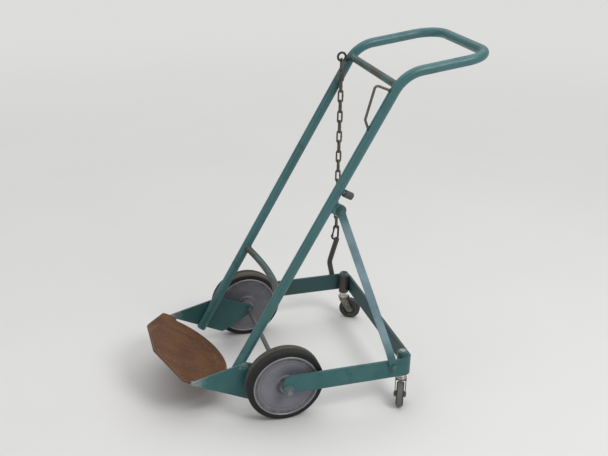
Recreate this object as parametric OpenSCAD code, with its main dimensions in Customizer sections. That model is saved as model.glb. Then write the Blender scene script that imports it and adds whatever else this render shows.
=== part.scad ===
// Gas cylinder trolley: leaning two-rail tube frame with a loop handle, round toe plate,
// two main wheels on a through axle, a flat-bar rear frame on two swivel casters,
// one side strut and a retaining chain with a snap hook.
// Millimetres. +Z is up, the toe points to -Y, the handle to +Y, and +X is the strut's side.
// The origin is on the floor under the middle of the trolley.

/* [Main frame tube] */
// Outside diameter of the rail and handle tube
tube_od = 25.4; // [20:0.1:34]
// Wall of the rail and handle tube
tube_wall = 2.1; // [1.2:0.1:4]
// Distance between the rails, centre to centre
rail_spacing = 330; // [280:1:400]
// Lean of the rails to the rear, degrees from upright
frame_lean = 29.2; // [22:0.1:36]
// Distance of the rails in front of the axle, at axle height
rail_lead = 127; // [110:1:150]
// Length of the rails below axle height, along the rail
foot_drop = 40; // [25:1:60]
// Length of the rails from axle height to the corner of the handle bend
rail_length = 886; // [750:1:1000]
// Rise of the handle legs to the rear, degrees from level
handle_rise = 8.5; // [0:0.1:20]
// Length of the handle legs from the bend corner to the grip
handle_reach = 233; // [180:1:300]
// Centre-line radius of the bend between rail and handle leg
handle_bend_r = 95; // [50:1:120]
// Centre-line radius of the two grip corners
grip_corner_r = 66; // [40:1:90]

/* [Cross bars] */
// Outside diameter of both cross bars
cross_od = 19; // [14:0.1:24]
// Wall of both cross bars
cross_wall = 1.6; // [1:0.1:3]
// Distance of the straight upper cross bar below the corner of the handle bend
upper_bar_down = 32; // [20:1:280]
// Place of the bowed lower cross bar along the rail
lower_bar_at = 243; // [150:1:400]
// Depth of the lower bar's bow to the rear
saddle_depth = 34; // [10:1:70]

/* [Toe plate] */
// Thickness of the toe plate
toe_thick = 6.35; // [4:0.05:10]
// Reach of the toe plate's front edge ahead of the rails
toe_reach = 187; // [150:1:240]
// Width of the straight front edge
toe_nose_w = 140; // [80:1:220]
// Radius of the rounded rear edge
toe_rear_r = 157; // [120:1:160]
// Distance of the rear edge's centre ahead of the rails
toe_centre = 114; // [90:1:130]
// Length of each welded side of the toe plate
toe_side_l = 32; // [20:1:60]
// Corner radius of the toe plate's front
toe_corner_r = 14; // [3:0.5:20]

/* [Side plates] */
// Thickness of the side plates
side_thick = 4.8; // [3:0.1:8]
// Reach of the side plate's tip ahead of the rails
side_reach = 100; // [70:1:125]
// Height of the side plate's shoulder above axle height, along the rail
side_shoulder = 62; // [40:1:90]
// Radius of the side plate's boss round the axle
side_boss_r = 14; // [12:0.5:30]
// Distance of the side plate's lower rear corner behind the rails
side_heel_back = 64; // [40:1:80]
// Rise of the side plate's lower edge from its tip to that corner
side_heel_lift = 12; // [0:1:24]

/* [Main axle] */
// Diameter of the axle
axle_d = 12.7; // [10:0.1:16]
// Length of axle that stands out past each nut
axle_end = 4; // [1:0.5:10]
// Across-flats width of the axle nuts
axle_nut_af = 19; // [17:0.5:26]
// Height of the axle nuts
axle_nut_h = 11; // [6:0.5:16]
// Outside diameter of the axle washers
washer_d = 28; // [22:0.5:36]
// Thickness of the axle washers
washer_t = 2.5; // [1.5:0.1:4]

/* [Main wheels] */
// Diameter of the main wheels over the tyre
wheel_d = 203.2; // [180:0.1:220]
// Width of the tyre
tyre_w = 40; // [34:0.5:46]
// Rounding of the tyre's shoulders
tyre_round = 7; // [3:0.5:10]
// Radius of the rolled edge of the wheel discs
rim_r = 86.6; // [80:0.1:90]
// Radius of the bead rolled into the discs' edge
bead_r = 2.4; // [1.5:0.1:3]
// Sheet thickness of the pressed wheel discs
disc_t = 2.5; // [1.5:0.1:4]
// Outside diameter of the hub tube
hub_d = 36; // [32:0.5:46]
// Length of the hub tube
hub_l = 50; // [48:0.5:60]
// Outside diameter of the hub bush
bush_d = 22; // [18:0.5:26]
// Length of the spacer between side plate and wheel hub
spacer_l = 13; // [11:0.5:32]

/* [Rear caster frame] */
// Height of the flat bar
bar_h = 50.8; // [40:0.1:60]
// Thickness of the flat bar
bar_t = 6.35; // [4:0.05:8]
// Height of the axle hole above the flat bar's lower edge
bar_hole_up = 12; // [10:0.5:20]
// Rounding of the arm's upper front corner
arm_round = 20; // [8:1:30]
// Thickness of the collar between wheel hub and arm
collar_t = 5; // [3:0.5:8]
// Distance of the caster swivel axes behind the axle
caster_back = 320; // [280:1:380]
// Outside diameter of the caster socket tubes
socket_d = 30; // [26:0.5:40]
// Length of socket above the flat bar
socket_over = 4; // [1:0.5:12]
// Length of socket below the flat bar
socket_under = 2; // [0:0.5:6]

/* [Casters] */
// Diameter of the caster wheels
caster_d = 65; // [60:0.5:76]
// Thickness of the caster tread on its core
caster_tread_t = 9; // [7:0.5:12]
// Width of the caster tread
caster_w = 20; // [16:0.5:22]
// Distance of the caster axle behind its swivel axis
caster_trail = 22; // [18:0.5:32]
// Inside width of the fork
fork_gap = 25; // [24:0.5:30]
// Sheet thickness of the fork
fork_t = 2.5; // [2:0.1:4]
// Diameter of the swivel stem
stem_d = 16; // [12:0.5:18]
// Diameter of the race cap over the swivel balls
race_d = 27; // [26:0.5:34]
// Direction of the left caster's trail, degrees from +X
left_heading = -25; // [-180:1:180]
// Direction of the right caster's trail, degrees from +X
right_heading = 60; // [-180:1:180]

/* [Strut] */
// Width of the flat-bar strut
strut_w = 20; // [16:0.5:26]
// Thickness of the flat-bar strut
strut_t = 6; // [4:0.1:8]
// Place of the strut's upper bolt along the rail
strut_top_at = 522; // [400:1:560]
// Distance of the upper bolt behind the rail's centre line
strut_top_back = 33; // [30:0.5:45]
// Distance of the lower bolt ahead of the caster swivel axis
strut_foot_lead = 35; // [30:0.5:80]
// Height of the lower bolt above the flat bar's lower edge
strut_foot_up = 37; // [15:0.5:40]
// Length of the strut's straight upper tab below its bolt
strut_tab_top = 22; // [14:0.5:60]
// Length of the strut's straight lower tab above its bolt
strut_tab_foot = 52; // [20:0.5:90]
// Diameter of the strut bolts
bolt_d = 8; // [6:0.5:10]
// Thickness of the bracket on the rail
bracket_t = 5; // [3:0.1:8]

/* [Rubber stop] */
// Place of the rubber stop along the rail
stop_at = 566; // [540:1:700]
// Diameter of the rubber cap
stop_d = 19; // [14:0.5:26]
// Length of the rubber cap
stop_l = 25; // [15:0.5:40]
// Diameter of the stud that carries the cap
stud_d = 10; // [6:0.5:12]
// Length of stud showing between rail and cap
stud_gap = 5; // [2:0.5:12]

/* [Chain] */
// Wire diameter of the links
link_wire = 5; // [4:0.1:5.4]
// Outside width of a link
link_w = 17; // [16.5:0.1:18]
// Inside length of a link
link_l = 29; // [24:0.5:40]
// Number of links in the upper, middle and lower runs
run_links = [5, 6, 6];
// Wire diameter of the chain's eye
eye_wire = 6; // [5:0.1:6.4]
// Centre-line radius of the chain's eye
eye_r = 11; // [10:0.5:16]
// Distance of the eye below the corner of the handle bend, along the rail
eye_down = 44; // [30:1:186]
// Distance of the eye's centre ahead of the rail
eye_lead = 33; // [26:0.5:36]
// Distance of the eye's plane inside the rail's centre line
eye_inset = 23; // [22:0.5:30]

/* [Snap hook] */
// Wire diameter of the hook's body
hook_wire = 6; // [5:0.1:6.4]
// Centre-line radius of the hook's upper eye
hook_eye_r = 6.5; // [6.4:0.1:8]
// Centre-line radius of the hook's lower bow
hook_bow_r = 9; // [8:0.1:12]
// Distance between the two bows
hook_l = 27; // [24:0.5:40]
// Diameter of the gate bar
gate_d = 4.6; // [3.6:0.1:5]

/* [Chain catch] */
// Wire diameter of the catch loop
catch_wire = 6.35; // [4:0.05:8]
// Distance of the loop's upper leg below the corner of the handle bend, along the rail
catch_down = 48; // [41:1:186]
// Length of the loop along the rail
catch_l = 102; // [60:1:140]
// Distance of the loop's upper corner ahead of the rail
catch_lead = 52; // [35:1:80]
// Distance of the loop's lower corner ahead of the rail
catch_low_lead = 31; // [24:1:60]
// Centre-line radius of the loop's corners
catch_bend = 8; // [5:0.5:14]

/* [Stow post] */
// Diameter of the bent post
post_d = 15.9; // [10:0.1:19]
// Height of the post above the flat bar's upper edge
post_h = 120; // [60:1:200]
// Height of the post's bend above the flat bar's upper edge
post_bend_h = 41; // [25:1:100]
// Lean of the post's lower part to the front, degrees
post_lean_low = 12; // [0:1:30]
// Lean of the post's upper part to the rear, degrees
post_lean_up = 16; // [0:1:40]
// Centre-line radius of the post's bend
post_bend_r = 40; // [20:1:80]

/* [Fits] */
// Thinning of a bar in its bends
bend_thin = 0.05; // [0.02:0.01:0.1]
// Lap of a bend inside its straight legs
bend_lap = 0.4; // [0.2:0.1:0.5]
// Depth of a plate's straight edges inside its round corners
corner_lap = 0.03; // [0.02:0.01:0.1]
// Gap left at welded seams
weld_gap = 0.1; // [0.05:0.05:0.3]
// Radial clearance of a shaft that turns in its hole
run_fit = 0.05; // [0.02:0.01:0.1]
// Radial clearance of a bolt or axle in a fixed hole
bolt_fit = 0.1; // [0.05:0.05:0.5]
// Clearance along an axis between parts that turn
side_play = 0.3; // [0.2:0.05:1]
// Gap between neighbouring chain links
link_play = 0.3; // [0.2:0.05:0.6]

/* [Hidden] */
$fn = 64;
LEFT = 1;
RIGHT = -1;
tube_r = tube_od / 2;
rail_x = rail_spacing / 2;
axle_r = axle_d / 2;
axle_z = wheel_d / 2;

// Turn from the rail's direction to the handle leg's direction
handle_turn = 90 - frame_lean - handle_rise;

// Places of the axle in the leaning frame: forward of the rails, and up along them
axle_fore = -rail_lead * cos(frame_lean);
axle_up = rail_lead * sin(frame_lean);

// Stations along X, from the rail outwards
side_in_x = rail_x + tube_r + weld_gap;
side_out_x = side_in_x + side_thick;
spacer_in_x = side_out_x + weld_gap;
hub_in_x = spacer_in_x + spacer_l + side_play;
wheel_x = hub_in_x + hub_l / 2;
hub_out_x = hub_in_x + hub_l;
arm_in_x = hub_out_x + side_play + collar_t + weld_gap;
arm_out_x = arm_in_x + bar_t;
nut_in_x = arm_out_x + 2 * weld_gap + washer_t;
axle_end_x = nut_in_x + axle_nut_h + axle_end;

// Heights of the rear frame
bar_low_z = axle_z - bar_hole_up;
bar_top_z = bar_low_z + bar_h;
socket_r = socket_d / 2;
bar_bend_r = socket_r + weld_gap;
caster_x = arm_in_x - bar_bend_r;
bar_rear_y = caster_back + bar_bend_r;
socket_low_z = bar_low_z - socket_under;
socket_top_z = bar_top_z + socket_over;

// Heights of a caster, from the floor up
caster_r = caster_d / 2;
crown_low_z = caster_d + 2.5;
crown_top_z = crown_low_z + fork_t;
ball_r = 1.6;
ball_ring_r = 8.8;
ball_count = 12;
ball_play = 0.1;
cap_in_z = crown_top_z + 2 * (ball_r + ball_play);
cap_t = 2;
cap_top_z = cap_in_z + cap_t;
cap_wall = 1.5;
kingpin_d = 9;
kingpin_head_d = 15;
kingpin_head_h = 2;
stem_nut_af = 24;
stem_nut_h = 6;
stem_washer_d = 29;
stem_washer_t = 2;
caster_axle_d = 8;
caster_hub_d = 16;
caster_core_r = caster_r - caster_tread_t;
tread_round = min(4, caster_tread_t / 2 - 0.4);
rivet_d = 12;
rivet_h = 1.8;
fork_boss_r = 9;
crown_over = 0.6;

// Strut stations: bolt places in the side view and the two tab planes
bolt_r = bolt_d / 2;
strut_top_y = -rail_lead + strut_top_at * sin(frame_lean) + strut_top_back * cos(frame_lean);
strut_top_z = axle_z + strut_top_at * cos(frame_lean) - strut_top_back * sin(frame_lean);
strut_foot_y = caster_back - strut_foot_lead;
strut_foot_z = bar_low_z + strut_foot_up;
strut_run = norm([strut_foot_y - strut_top_y, strut_top_z - strut_foot_z]);
strut_slope = atan2(strut_foot_y - strut_top_y, strut_top_z - strut_foot_z);
strut_top_x = rail_x + bracket_t / 2 + weld_gap;
strut_foot_x = arm_out_x + weld_gap;
bolt_head_af = 13;
bolt_head_h = 5.5;
bolt_nut_h = 6.5;
bolt_over = 2;

// Places along the rail, downwards from the corner of the handle bend
bend_at = rail_length - handle_bend_r * tan(handle_turn / 2);
upper_bar_at = rail_length - upper_bar_down;
upper_bar_past = max(0, upper_bar_at - bend_at);
upper_bar_back = handle_bend_r - sqrt(pow(handle_bend_r, 2) - pow(upper_bar_past, 2));
eye_at = rail_length - eye_down;
catch_top_at = rail_length - catch_down;

// Chain stations, downwards from the eye's centre
link_wire_r = link_wire / 2;
link_bend_r = (link_w - link_wire) / 2;
link_straight = link_l - 2 * (link_bend_r - link_wire_r);
link_half = link_straight / 2 + link_bend_r;
link_pitch = link_l - link_play;
eye_wire_r = eye_wire / 2;
neck_thin = 0.3;
eye_x = -rail_x + eye_inset;
eye_y = -rail_lead + eye_at * sin(frame_lean) - eye_lead * cos(frame_lean);
eye_z = axle_z + eye_at * cos(frame_lean) + eye_lead * sin(frame_lean);
first_link_z = eye_z - eye_r + eye_wire_r + link_wire_r + link_play - link_half;
hook_wire_r = hook_wire / 2;
run_start = [0, run_links[0], run_links[0] + run_links[1]];
link_count = run_links[0] + run_links[1] + run_links[2];
last_link_z = first_link_z - (link_count - 1) * link_pitch;
hook_top_z = last_link_z - link_half + link_wire_r + hook_wire_r + link_play - hook_eye_r;
gate_r = gate_d / 2;
gate_pin_d = 2.4;
gate_boss_r = 3.4;
gate_tongue_t = 3;
gate_ear_t = 1.4;
gate_play = 0.25;
gate_nose_gap = 1;
hook_nose_l = 6;

// Middle of the trolley between the toe's front edge and the back of the grip
toe_low = -foot_drop - toe_thick;
front_y = -rail_lead + toe_low * sin(frame_lean) - toe_reach * cos(frame_lean);
rear_y = -rail_lead + rail_length * sin(frame_lean) + handle_reach * cos(handle_rise) + tube_r;
mid_y = (front_y + rear_y) / 2;

teal = "#3f7577";
steel = "#8d8f92";
zinc = "#b9bcc0";
rubber = "#1c1c1e";
rust = "#6d4a38";
dark_steel = "#3b332e";

// Helpers: places

// Children given in axle coordinates, moved so that the origin is under the trolley's middle
module placed() {
    translate([0, -mid_y, 0]) children();
}

// Children given in the leaning frame: X across, -Y forward of the rails, Z up along them
module in_frame() {
    placed() translate([0, -rail_lead, axle_z]) rotate([-frame_lean, 0, 0]) children();
}

// Children drawn along +Z, laid along +X on the axle line
module on_axle(x) {
    placed() translate([x, 0, axle_z]) rotate([0, 90, 0]) children();
}

// Children given in a caster's own frame: X along its trail, Z up
module on_caster(side, heading) {
    placed() translate([side * caster_x, caster_back, 0]) rotate([0, 0, heading]) children();
}

// Children drawn in the XY plane, stood up in the side view: X becomes Y and Y becomes Z
module side_view() {
    rotate([90, 0, 90]) children();
}

// Helpers: shapes

// Plain ring along Z
module ring(r_out, r_in, h) {
    difference() {
        cylinder(r = r_out, h = h);
        translate([0, 0, -1]) cylinder(r = r_in, h = h + 2);
    }
}

// Hexagon nut along Z with a round hole
module hex_nut(af, h, hole_r) {
    difference() {
        cylinder(d = af / cos(30), h = h, $fn = 6);
        translate([0, 0, -1]) cylinder(r = hole_r, h = h + 2);
    }
}

// Outer tangent of two circles [x, y, r], on the right of the way from a to b
function tangent(a, b) =
    let (d = [b[0] - a[0], b[1] - a[1]], l = norm(d), u = d / l, k = (a[2] - b[2]) / l)
    let (h = sqrt(1 - k * k), n = [u[0] * k + u[1] * h, u[1] * k - u[0] * h])
    [[a[0], a[1]] + a[2] * n, [b[0], b[1]] + b[2] * n];

// Flat plate round a counter-clockwise ring of circles [x, y, r].
// Its straight edges start and end a hair inside the round corners.
module round_plate(c, h) {
    count = len(c);
    inner = [for (p = c) [p[0], p[1], max(0, p[2] - corner_lap)]];
    points = [for (i = [0 : count - 1]) each tangent(inner[i], inner[(i + 1) % count])];
    linear_extrude(height = h) polygon(points);
    for (p = c) if (p[2] > 0) translate([p[0], p[1], 0]) cylinder(r = p[2], h = h);
}

// Ring about Z with rounded outer edges, centred on z = 0
module soft_ring(r_out, r_in, w, edge) {
    flat = w - 2 * edge;
    translate([0, 0, -w / 2]) ring(r_out - edge, r_in, w);
    translate([0, 0, -flat / 2]) ring(r_out, r_in, flat);
    for (z = [-flat / 2, flat / 2])
        translate([0, 0, z]) rotate_extrude() translate([r_out - edge, 0]) circle(edge);
}

// Signed turn between two directions in the plane, degrees
function turn(u, v) = atan2(u[0] * v[1] - u[1] * v[0], u * v);

// Length that a bend takes from each of its two legs
function bend_leg(turn_angle, bend) = bend * tan(abs(turn_angle) / 2);

// Round bar of radius r along a line of points in the XY plane, bent at each inner point.
// Each bend is a hair thinner than its legs and ends inside them.
module bent_bar(p, bend, r) {
    last = len(p) - 1;
    way = [for (i = [0 : last - 1]) (p[i + 1] - p[i]) / norm(p[i + 1] - p[i])];
    turns = [for (i = [0 : last]) i == 0 || i == last ? 0 : turn(way[i - 1], way[i])];
    for (i = [0 : last - 1]) {
        from = p[i] + way[i] * bend_leg(turns[i], bend);
        to = p[i + 1] - way[i] * bend_leg(turns[i + 1], bend);
        span = (to - from) * way[i];
        if (span > 0.01)
            translate([from[0], from[1], 0])
                rotate([0, 0, atan2(way[i][1], way[i][0])])
                    rotate([0, 90, 0]) cylinder(r = r, h = span);
    }
    for (i = [1 : 1 : last - 1]) {
        u = way[i - 1];
        hand = sign(turns[i]);
        entry = p[i] - u * bend_leg(turns[i], bend);
        centre = entry + hand * bend * [-u[1], u[0]];
        start = atan2(entry[1] - centre[1], entry[0] - centre[0]);
        lap = asin(bend_lap / bend);
        translate([centre[0], centre[1], 0])
            rotate([0, 0, min(start, start + turns[i]) - lap])
                rotate_extrude(angle = abs(turns[i]) + 2 * lap) translate([bend, 0])
                    circle(r - bend_thin);
    }
}

// Space taken by the two rails, for coping what is welded to them
module rail_space() {
    for (side = [LEFT, RIGHT])
        translate([side * rail_x, 0, -2 * foot_drop])
            cylinder(r = tube_r + weld_gap, h = rail_length + 2 * foot_drop);
}

// Pieces of the main frame

// Solid bar of radius r along the rails and round the handle
module frame_path(r, foot) {
    leg = handle_reach - grip_corner_r;
    corner = [0, rail_length];
    rail = [[0, foot], corner, corner + leg * [sin(handle_turn), cos(handle_turn)]];
    grip = [
        [-rail_x, leg],
        [-rail_x, handle_reach],
        [rail_x, handle_reach],
        [rail_x, leg]
    ];
    for (side = [LEFT, RIGHT])
        translate([side * rail_x, 0, 0]) side_view() bent_bar(rail, handle_bend_r, r);
    translate([0, 0, rail_length]) rotate([-handle_turn, 0, 0])
        rotate([90, 0, 0]) bent_bar(grip, grip_corner_r, r);
}

module frame_tube() color(teal) in_frame() difference() {
    frame_path(tube_r, -foot_drop);
    frame_path(tube_r - tube_wall, -foot_drop - 1);
}

module upper_cross_bar() color(teal) in_frame() difference() {
    translate([-rail_x, upper_bar_back, upper_bar_at]) rotate([0, 90, 0])
        ring(cross_od / 2, cross_od / 2 - cross_wall, rail_spacing);
    frame_path(tube_r + weld_gap, -foot_drop);
}

module lower_saddle_bar() color(teal) in_frame() {
    bow_r = (rail_x * rail_x + saddle_depth * saddle_depth) / (2 * saddle_depth);
    half = asin(rail_x / bow_r);
    difference() {
        translate([0, saddle_depth - bow_r, lower_bar_at]) rotate([0, 0, 90 - half])
            rotate_extrude(angle = 2 * half, $fn = 180) translate([bow_r, 0]) difference() {
                circle(d = cross_od);
                circle(d = cross_od - 2 * cross_wall);
            }
        rail_space();
    }
}

module toe_plate() color(rust) in_frame() {
    half = rail_x + tube_r;
    side_from = side_reach - toe_side_l + toe_corner_r;
    r = toe_corner_r;
    front = [
        [-half, -side_from, 0],
        [-half + r, -side_reach - r, r],
        [-toe_nose_w / 2 + r / 2, -toe_reach + r, r],
        [toe_nose_w / 2 - r / 2, -toe_reach + r, r],
        [half - r, -side_reach - r, r],
        [half, -side_from, 0]
    ];
    translate([0, 0, toe_low]) {
        intersection() {
            translate([0, -toe_centre, 0]) cylinder(r = toe_rear_r, h = toe_thick, $fn = 128);
            translate([-half, -toe_centre, 0]) cube([2 * half, 2 * toe_rear_r, toe_thick]);
        }
        round_plate(front, toe_thick);
    }
}

// Side plate from the toe's tip back to the axle, seen from the side
module side_plate(side) color(teal) in_frame() {
    low = toe_low;
    tip_r = 3;
    heel_r = 16;
    shoulder_r = 14;
    outline = [
        [-side_reach + tip_r, low + tip_r, tip_r],
        [side_heel_back, low + side_heel_lift + heel_r, heel_r],
        [-axle_fore, axle_up, side_boss_r],
        [shoulder_r, side_shoulder - shoulder_r, shoulder_r]
    ];
    from_x = side == LEFT ? side_in_x : -side_out_x;
    difference() {
        translate([from_x, 0, 0]) side_view() round_plate(outline, side_thick);
        translate([0, -axle_fore, axle_up]) rotate([0, 90, 0])
            cylinder(r = axle_r + bolt_fit, h = 4 * rail_x, center = true);
    }
}

module left_side_plate() side_plate(LEFT);
module right_side_plate() side_plate(RIGHT);

// Axle and what sits on it

module main_axle() color(steel) on_axle(-axle_end_x) cylinder(r = axle_r, h = 2 * axle_end_x);

module axle_nuts() color(zinc) for (side = [LEFT, RIGHT]) {
    on_axle(side == LEFT ? nut_in_x : -nut_in_x - axle_nut_h)
        hex_nut(axle_nut_af, axle_nut_h, axle_r + bolt_fit);
}

module axle_washers() color(zinc) for (side = [LEFT, RIGHT]) {
    from_x = arm_out_x + weld_gap;
    on_axle(side == LEFT ? from_x : -from_x - washer_t)
        ring(washer_d / 2, axle_r + bolt_fit, washer_t);
}

module axle_spacers() color(zinc) for (side = [LEFT, RIGHT]) {
    on_axle(side == LEFT ? spacer_in_x : -spacer_in_x - spacer_l)
        ring(bush_d / 2, axle_r + bolt_fit, spacer_l);
}

module arm_collars() color(zinc) for (side = [LEFT, RIGHT]) {
    from_x = hub_out_x + side_play;
    on_axle(side == LEFT ? from_x : -from_x - collar_t)
        ring(bush_d / 2, axle_r + bolt_fit, collar_t);
}

// Main wheels, each drawn about Z with its outer face up

module on_wheel(side) {
    on_axle(side * wheel_x) mirror([0, 0, side == LEFT ? 0 : 1]) children();
}

module tyre(side) color(rubber) on_wheel(side) {
    seat_r = rim_r - 2 * bead_r;
    lip_z = tyre_w / 2 - bead_r;
    difference() {
        soft_ring(wheel_d / 2, seat_r + weld_gap, tyre_w, tyre_round);
        for (face = [LEFT, RIGHT])
            translate([0, 0, face * (lip_z + tyre_w)])
                cylinder(r = rim_r + weld_gap, h = 2 * tyre_w, center = true);
    }
}

module left_tyre() tyre(LEFT);
module right_tyre() tyre(RIGHT);

// Pressed disc: hub seat, raised hub ring, dished web, rim band and rolled bead
module wheel_disc() {
    seat_r = rim_r - 2 * bead_r;
    bead_z = tyre_w / 2;
    hub_ring_r = hub_d / 2 + 4;
    dish_r = hub_ring_r + 5;
    dish_z = tyre_w / 2 - 9;
    ring_z = dish_z + 4;
    web_z = tyre_w / 2 - 5;
    inside = hub_d / 2 + weld_gap;
    profile = [
        [inside, ring_z],
        [hub_ring_r, ring_z],
        [dish_r, dish_z],
        [seat_r - 2 * disc_t, web_z],
        [seat_r - disc_t, web_z],
        [seat_r - disc_t, weld_gap],
        [seat_r, weld_gap],
        [seat_r, bead_z - bead_r],
        [rim_r, bead_z - bead_r],
        [rim_r, bead_z],
        [seat_r - disc_t, bead_z],
        [seat_r - 3 * disc_t, web_z + disc_t],
        [dish_r + disc_t, dish_z + disc_t],
        [hub_ring_r + disc_t, ring_z + disc_t],
        [inside, ring_z + disc_t]
    ];
    rotate_extrude($fn = 128) polygon(profile);
    translate([0, 0, bead_z]) rotate_extrude($fn = 128)
        translate([rim_r - bead_r, 0]) circle(bead_r, $fn = 32);
}

module left_outer_disc() color(steel) on_wheel(LEFT) wheel_disc();
module right_outer_disc() color(steel) on_wheel(RIGHT) wheel_disc();
module left_inner_disc() color(steel) on_wheel(LEFT) mirror([0, 0, 1]) wheel_disc();
module right_inner_disc() color(steel) on_wheel(RIGHT) mirror([0, 0, 1]) wheel_disc();

module hub(side) color(steel) on_wheel(side)
    translate([0, 0, -hub_l / 2]) ring(hub_d / 2, bush_d / 2 + bolt_fit, hub_l);

module left_hub() hub(LEFT);
module right_hub() hub(RIGHT);

module bush(side) color("#9a7a3c") on_wheel(side)
    translate([0, 0, -hub_l / 2]) ring(bush_d / 2, axle_r + run_fit, hub_l);

module left_bush() bush(LEFT);
module right_bush() bush(RIGHT);

// Rear caster frame: one flat bar bent to a U, on edge

module caster_frame() color(teal) placed() {
    outer_r = bar_bend_r + bar_t;
    arm = [
        [0, axle_z, bar_hole_up],
        [caster_back, bar_low_z, 0],
        [caster_back, bar_top_z, 0],
        [arm_round - bar_hole_up, bar_top_z - arm_round, arm_round]
    ];
    difference() {
        for (side = [LEFT, RIGHT])
            translate([side == LEFT ? arm_in_x : -arm_out_x, 0, 0])
                side_view() round_plate(arm, bar_t);
        translate([0, 0, axle_z]) rotate([0, 90, 0])
            cylinder(r = axle_r + bolt_fit, h = 3 * arm_out_x, center = true);
        translate([arm_out_x, strut_foot_y, strut_foot_z]) rotate([0, 90, 0])
            cylinder(r = bolt_r + bolt_fit, h = 4 * bar_t, center = true);
    }
    for (side = [LEFT, RIGHT])
        translate([side * caster_x, caster_back, bar_low_z])
            rotate([0, 0, side == LEFT ? 0 : 90])
                rotate_extrude(angle = 90) translate([bar_bend_r, 0]) square([bar_t, bar_h]);
    translate([-caster_x, bar_rear_y, bar_low_z]) cube([2 * caster_x, bar_t, bar_h]);
}

module caster_socket(side) color(teal)
    placed() translate([side * caster_x, caster_back, socket_low_z])
        ring(socket_r, stem_d / 2 + bolt_fit, socket_top_z - socket_low_z);

module left_caster_socket() caster_socket(LEFT);
module right_caster_socket() caster_socket(RIGHT);

// Casters

// Stem through the socket, with the king pin and its riveted head below the fork crown
module caster_stem(side) color(zinc) on_caster(side, 0) {
    stem_top = socket_top_z + stem_washer_t + stem_nut_h + 2;
    head_z = crown_low_z - side_play - kingpin_head_h;
    translate([0, 0, cap_top_z]) cylinder(d = stem_d, h = stem_top - cap_top_z);
    translate([0, 0, head_z]) cylinder(d = kingpin_d, h = cap_top_z - head_z);
    translate([0, 0, head_z]) cylinder(d = kingpin_head_d, h = kingpin_head_h);
}

module left_caster_stem() caster_stem(LEFT);
module right_caster_stem() caster_stem(RIGHT);

module stem_nuts() color(zinc) for (side = [LEFT, RIGHT])
    on_caster(side, 0) translate([0, 0, socket_top_z + 2 * weld_gap + stem_washer_t])
        hex_nut(stem_nut_af, stem_nut_h, stem_d / 2 + bolt_fit);

module stem_washers() color(zinc) for (side = [LEFT, RIGHT])
    on_caster(side, 0) translate([0, 0, socket_top_z + weld_gap])
        ring(stem_washer_d / 2, stem_d / 2 + bolt_fit, stem_washer_t);

// Fixed cap over the swivel balls, with a skirt and a neck ring up to the socket
module race_cap(side) color(zinc) on_caster(side, 0) {
    neck_r = stem_d / 2 + 2.5;
    skirt_z = crown_top_z + side_play;
    translate([0, 0, cap_in_z]) ring(race_d / 2, kingpin_d / 2 + bolt_fit, cap_t);
    translate([0, 0, skirt_z]) ring(race_d / 2, race_d / 2 - cap_wall, cap_top_z - skirt_z);
    translate([0, 0, cap_in_z])
        ring(neck_r, stem_d / 2 + bolt_fit, socket_low_z - weld_gap - cap_in_z);
}

module left_race_cap() race_cap(LEFT);
module right_race_cap() race_cap(RIGHT);

module swivel_balls(side) color(zinc) on_caster(side, 0)
    for (i = [0 : ball_count - 1])
        rotate([0, 0, i * 360 / ball_count])
            translate([ball_ring_r, 0, crown_top_z + ball_play + ball_r]) sphere(ball_r, $fn = 24);

module left_swivel_balls() swivel_balls(LEFT);
module right_swivel_balls() swivel_balls(RIGHT);

// Pressed fork: round crown on the king pin and two tapered legs to the wheel's axle
module caster_fork(side, heading) color(zinc) on_caster(side, heading) {
    half = fork_gap / 2;
    corner_r = 3;
    leg_z = crown_low_z + fork_t / 2 - corner_r;
    leg = [
        [-7, leg_z, corner_r],
        [caster_trail, caster_r, fork_boss_r],
        [caster_trail - fork_boss_r, leg_z, corner_r]
    ];
    difference() {
        union() {
            translate([0, 0, crown_low_z]) {
                translate([0, -half - fork_t, 0])
                    cube([caster_trail - fork_boss_r, 2 * (half + fork_t), fork_t]);
                cylinder(r = half + fork_t + crown_over, h = fork_t);
            }
            for (y = [-half - fork_t, half])
                translate([0, y + fork_t, 0]) rotate([90, 0, 0]) round_plate(leg, fork_t);
        }
        translate([0, 0, crown_low_z - 1]) cylinder(r = kingpin_d / 2 + run_fit, h = fork_t + 2);
        translate([caster_trail, 0, caster_r]) rotate([90, 0, 0])
            cylinder(r = caster_axle_d / 2 + bolt_fit, h = 3 * half, center = true);
    }
}

module left_caster_fork() caster_fork(LEFT, left_heading);
module right_caster_fork() caster_fork(RIGHT, right_heading);

// Children drawn about Z, laid across the fork on the caster's axle
module on_caster_axle(side, heading) {
    on_caster(side, heading) translate([caster_trail, 0, caster_r]) rotate([90, 0, 0]) children();
}

// Axle riveted over outside both fork legs
module caster_axle(side, heading) color(zinc) on_caster_axle(side, heading) {
    grip = fork_gap / 2 + fork_t + weld_gap;
    cylinder(d = caster_axle_d, h = 2 * grip + rivet_h, center = true);
    for (z = [grip, -grip - rivet_h])
        translate([0, 0, z]) cylinder(d = rivet_d, h = rivet_h);
}

module left_caster_axle() caster_axle(LEFT, left_heading);
module right_caster_axle() caster_axle(RIGHT, right_heading);

// Wheel core: hub tube, web and rim that carries the tread
module caster_core(side, heading) color("#4a4a4c") on_caster_axle(side, heading) {
    hub_h = fork_gap - 2 * side_play;
    hole = caster_axle_d / 2 + run_fit;
    translate([0, 0, -hub_h / 2]) ring(caster_hub_d / 2, hole, hub_h);
    translate([0, 0, -3]) ring(caster_core_r - 1, hole, 6);
    translate([0, 0, -caster_w / 2 + 1]) ring(caster_core_r, caster_core_r - 4, caster_w - 2);
}

module left_caster_core() caster_core(LEFT, left_heading);
module right_caster_core() caster_core(RIGHT, right_heading);

module caster_tread(side, heading) color(rubber) on_caster_axle(side, heading)
    soft_ring(caster_r, caster_core_r + weld_gap, caster_w, tread_round);

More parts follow.
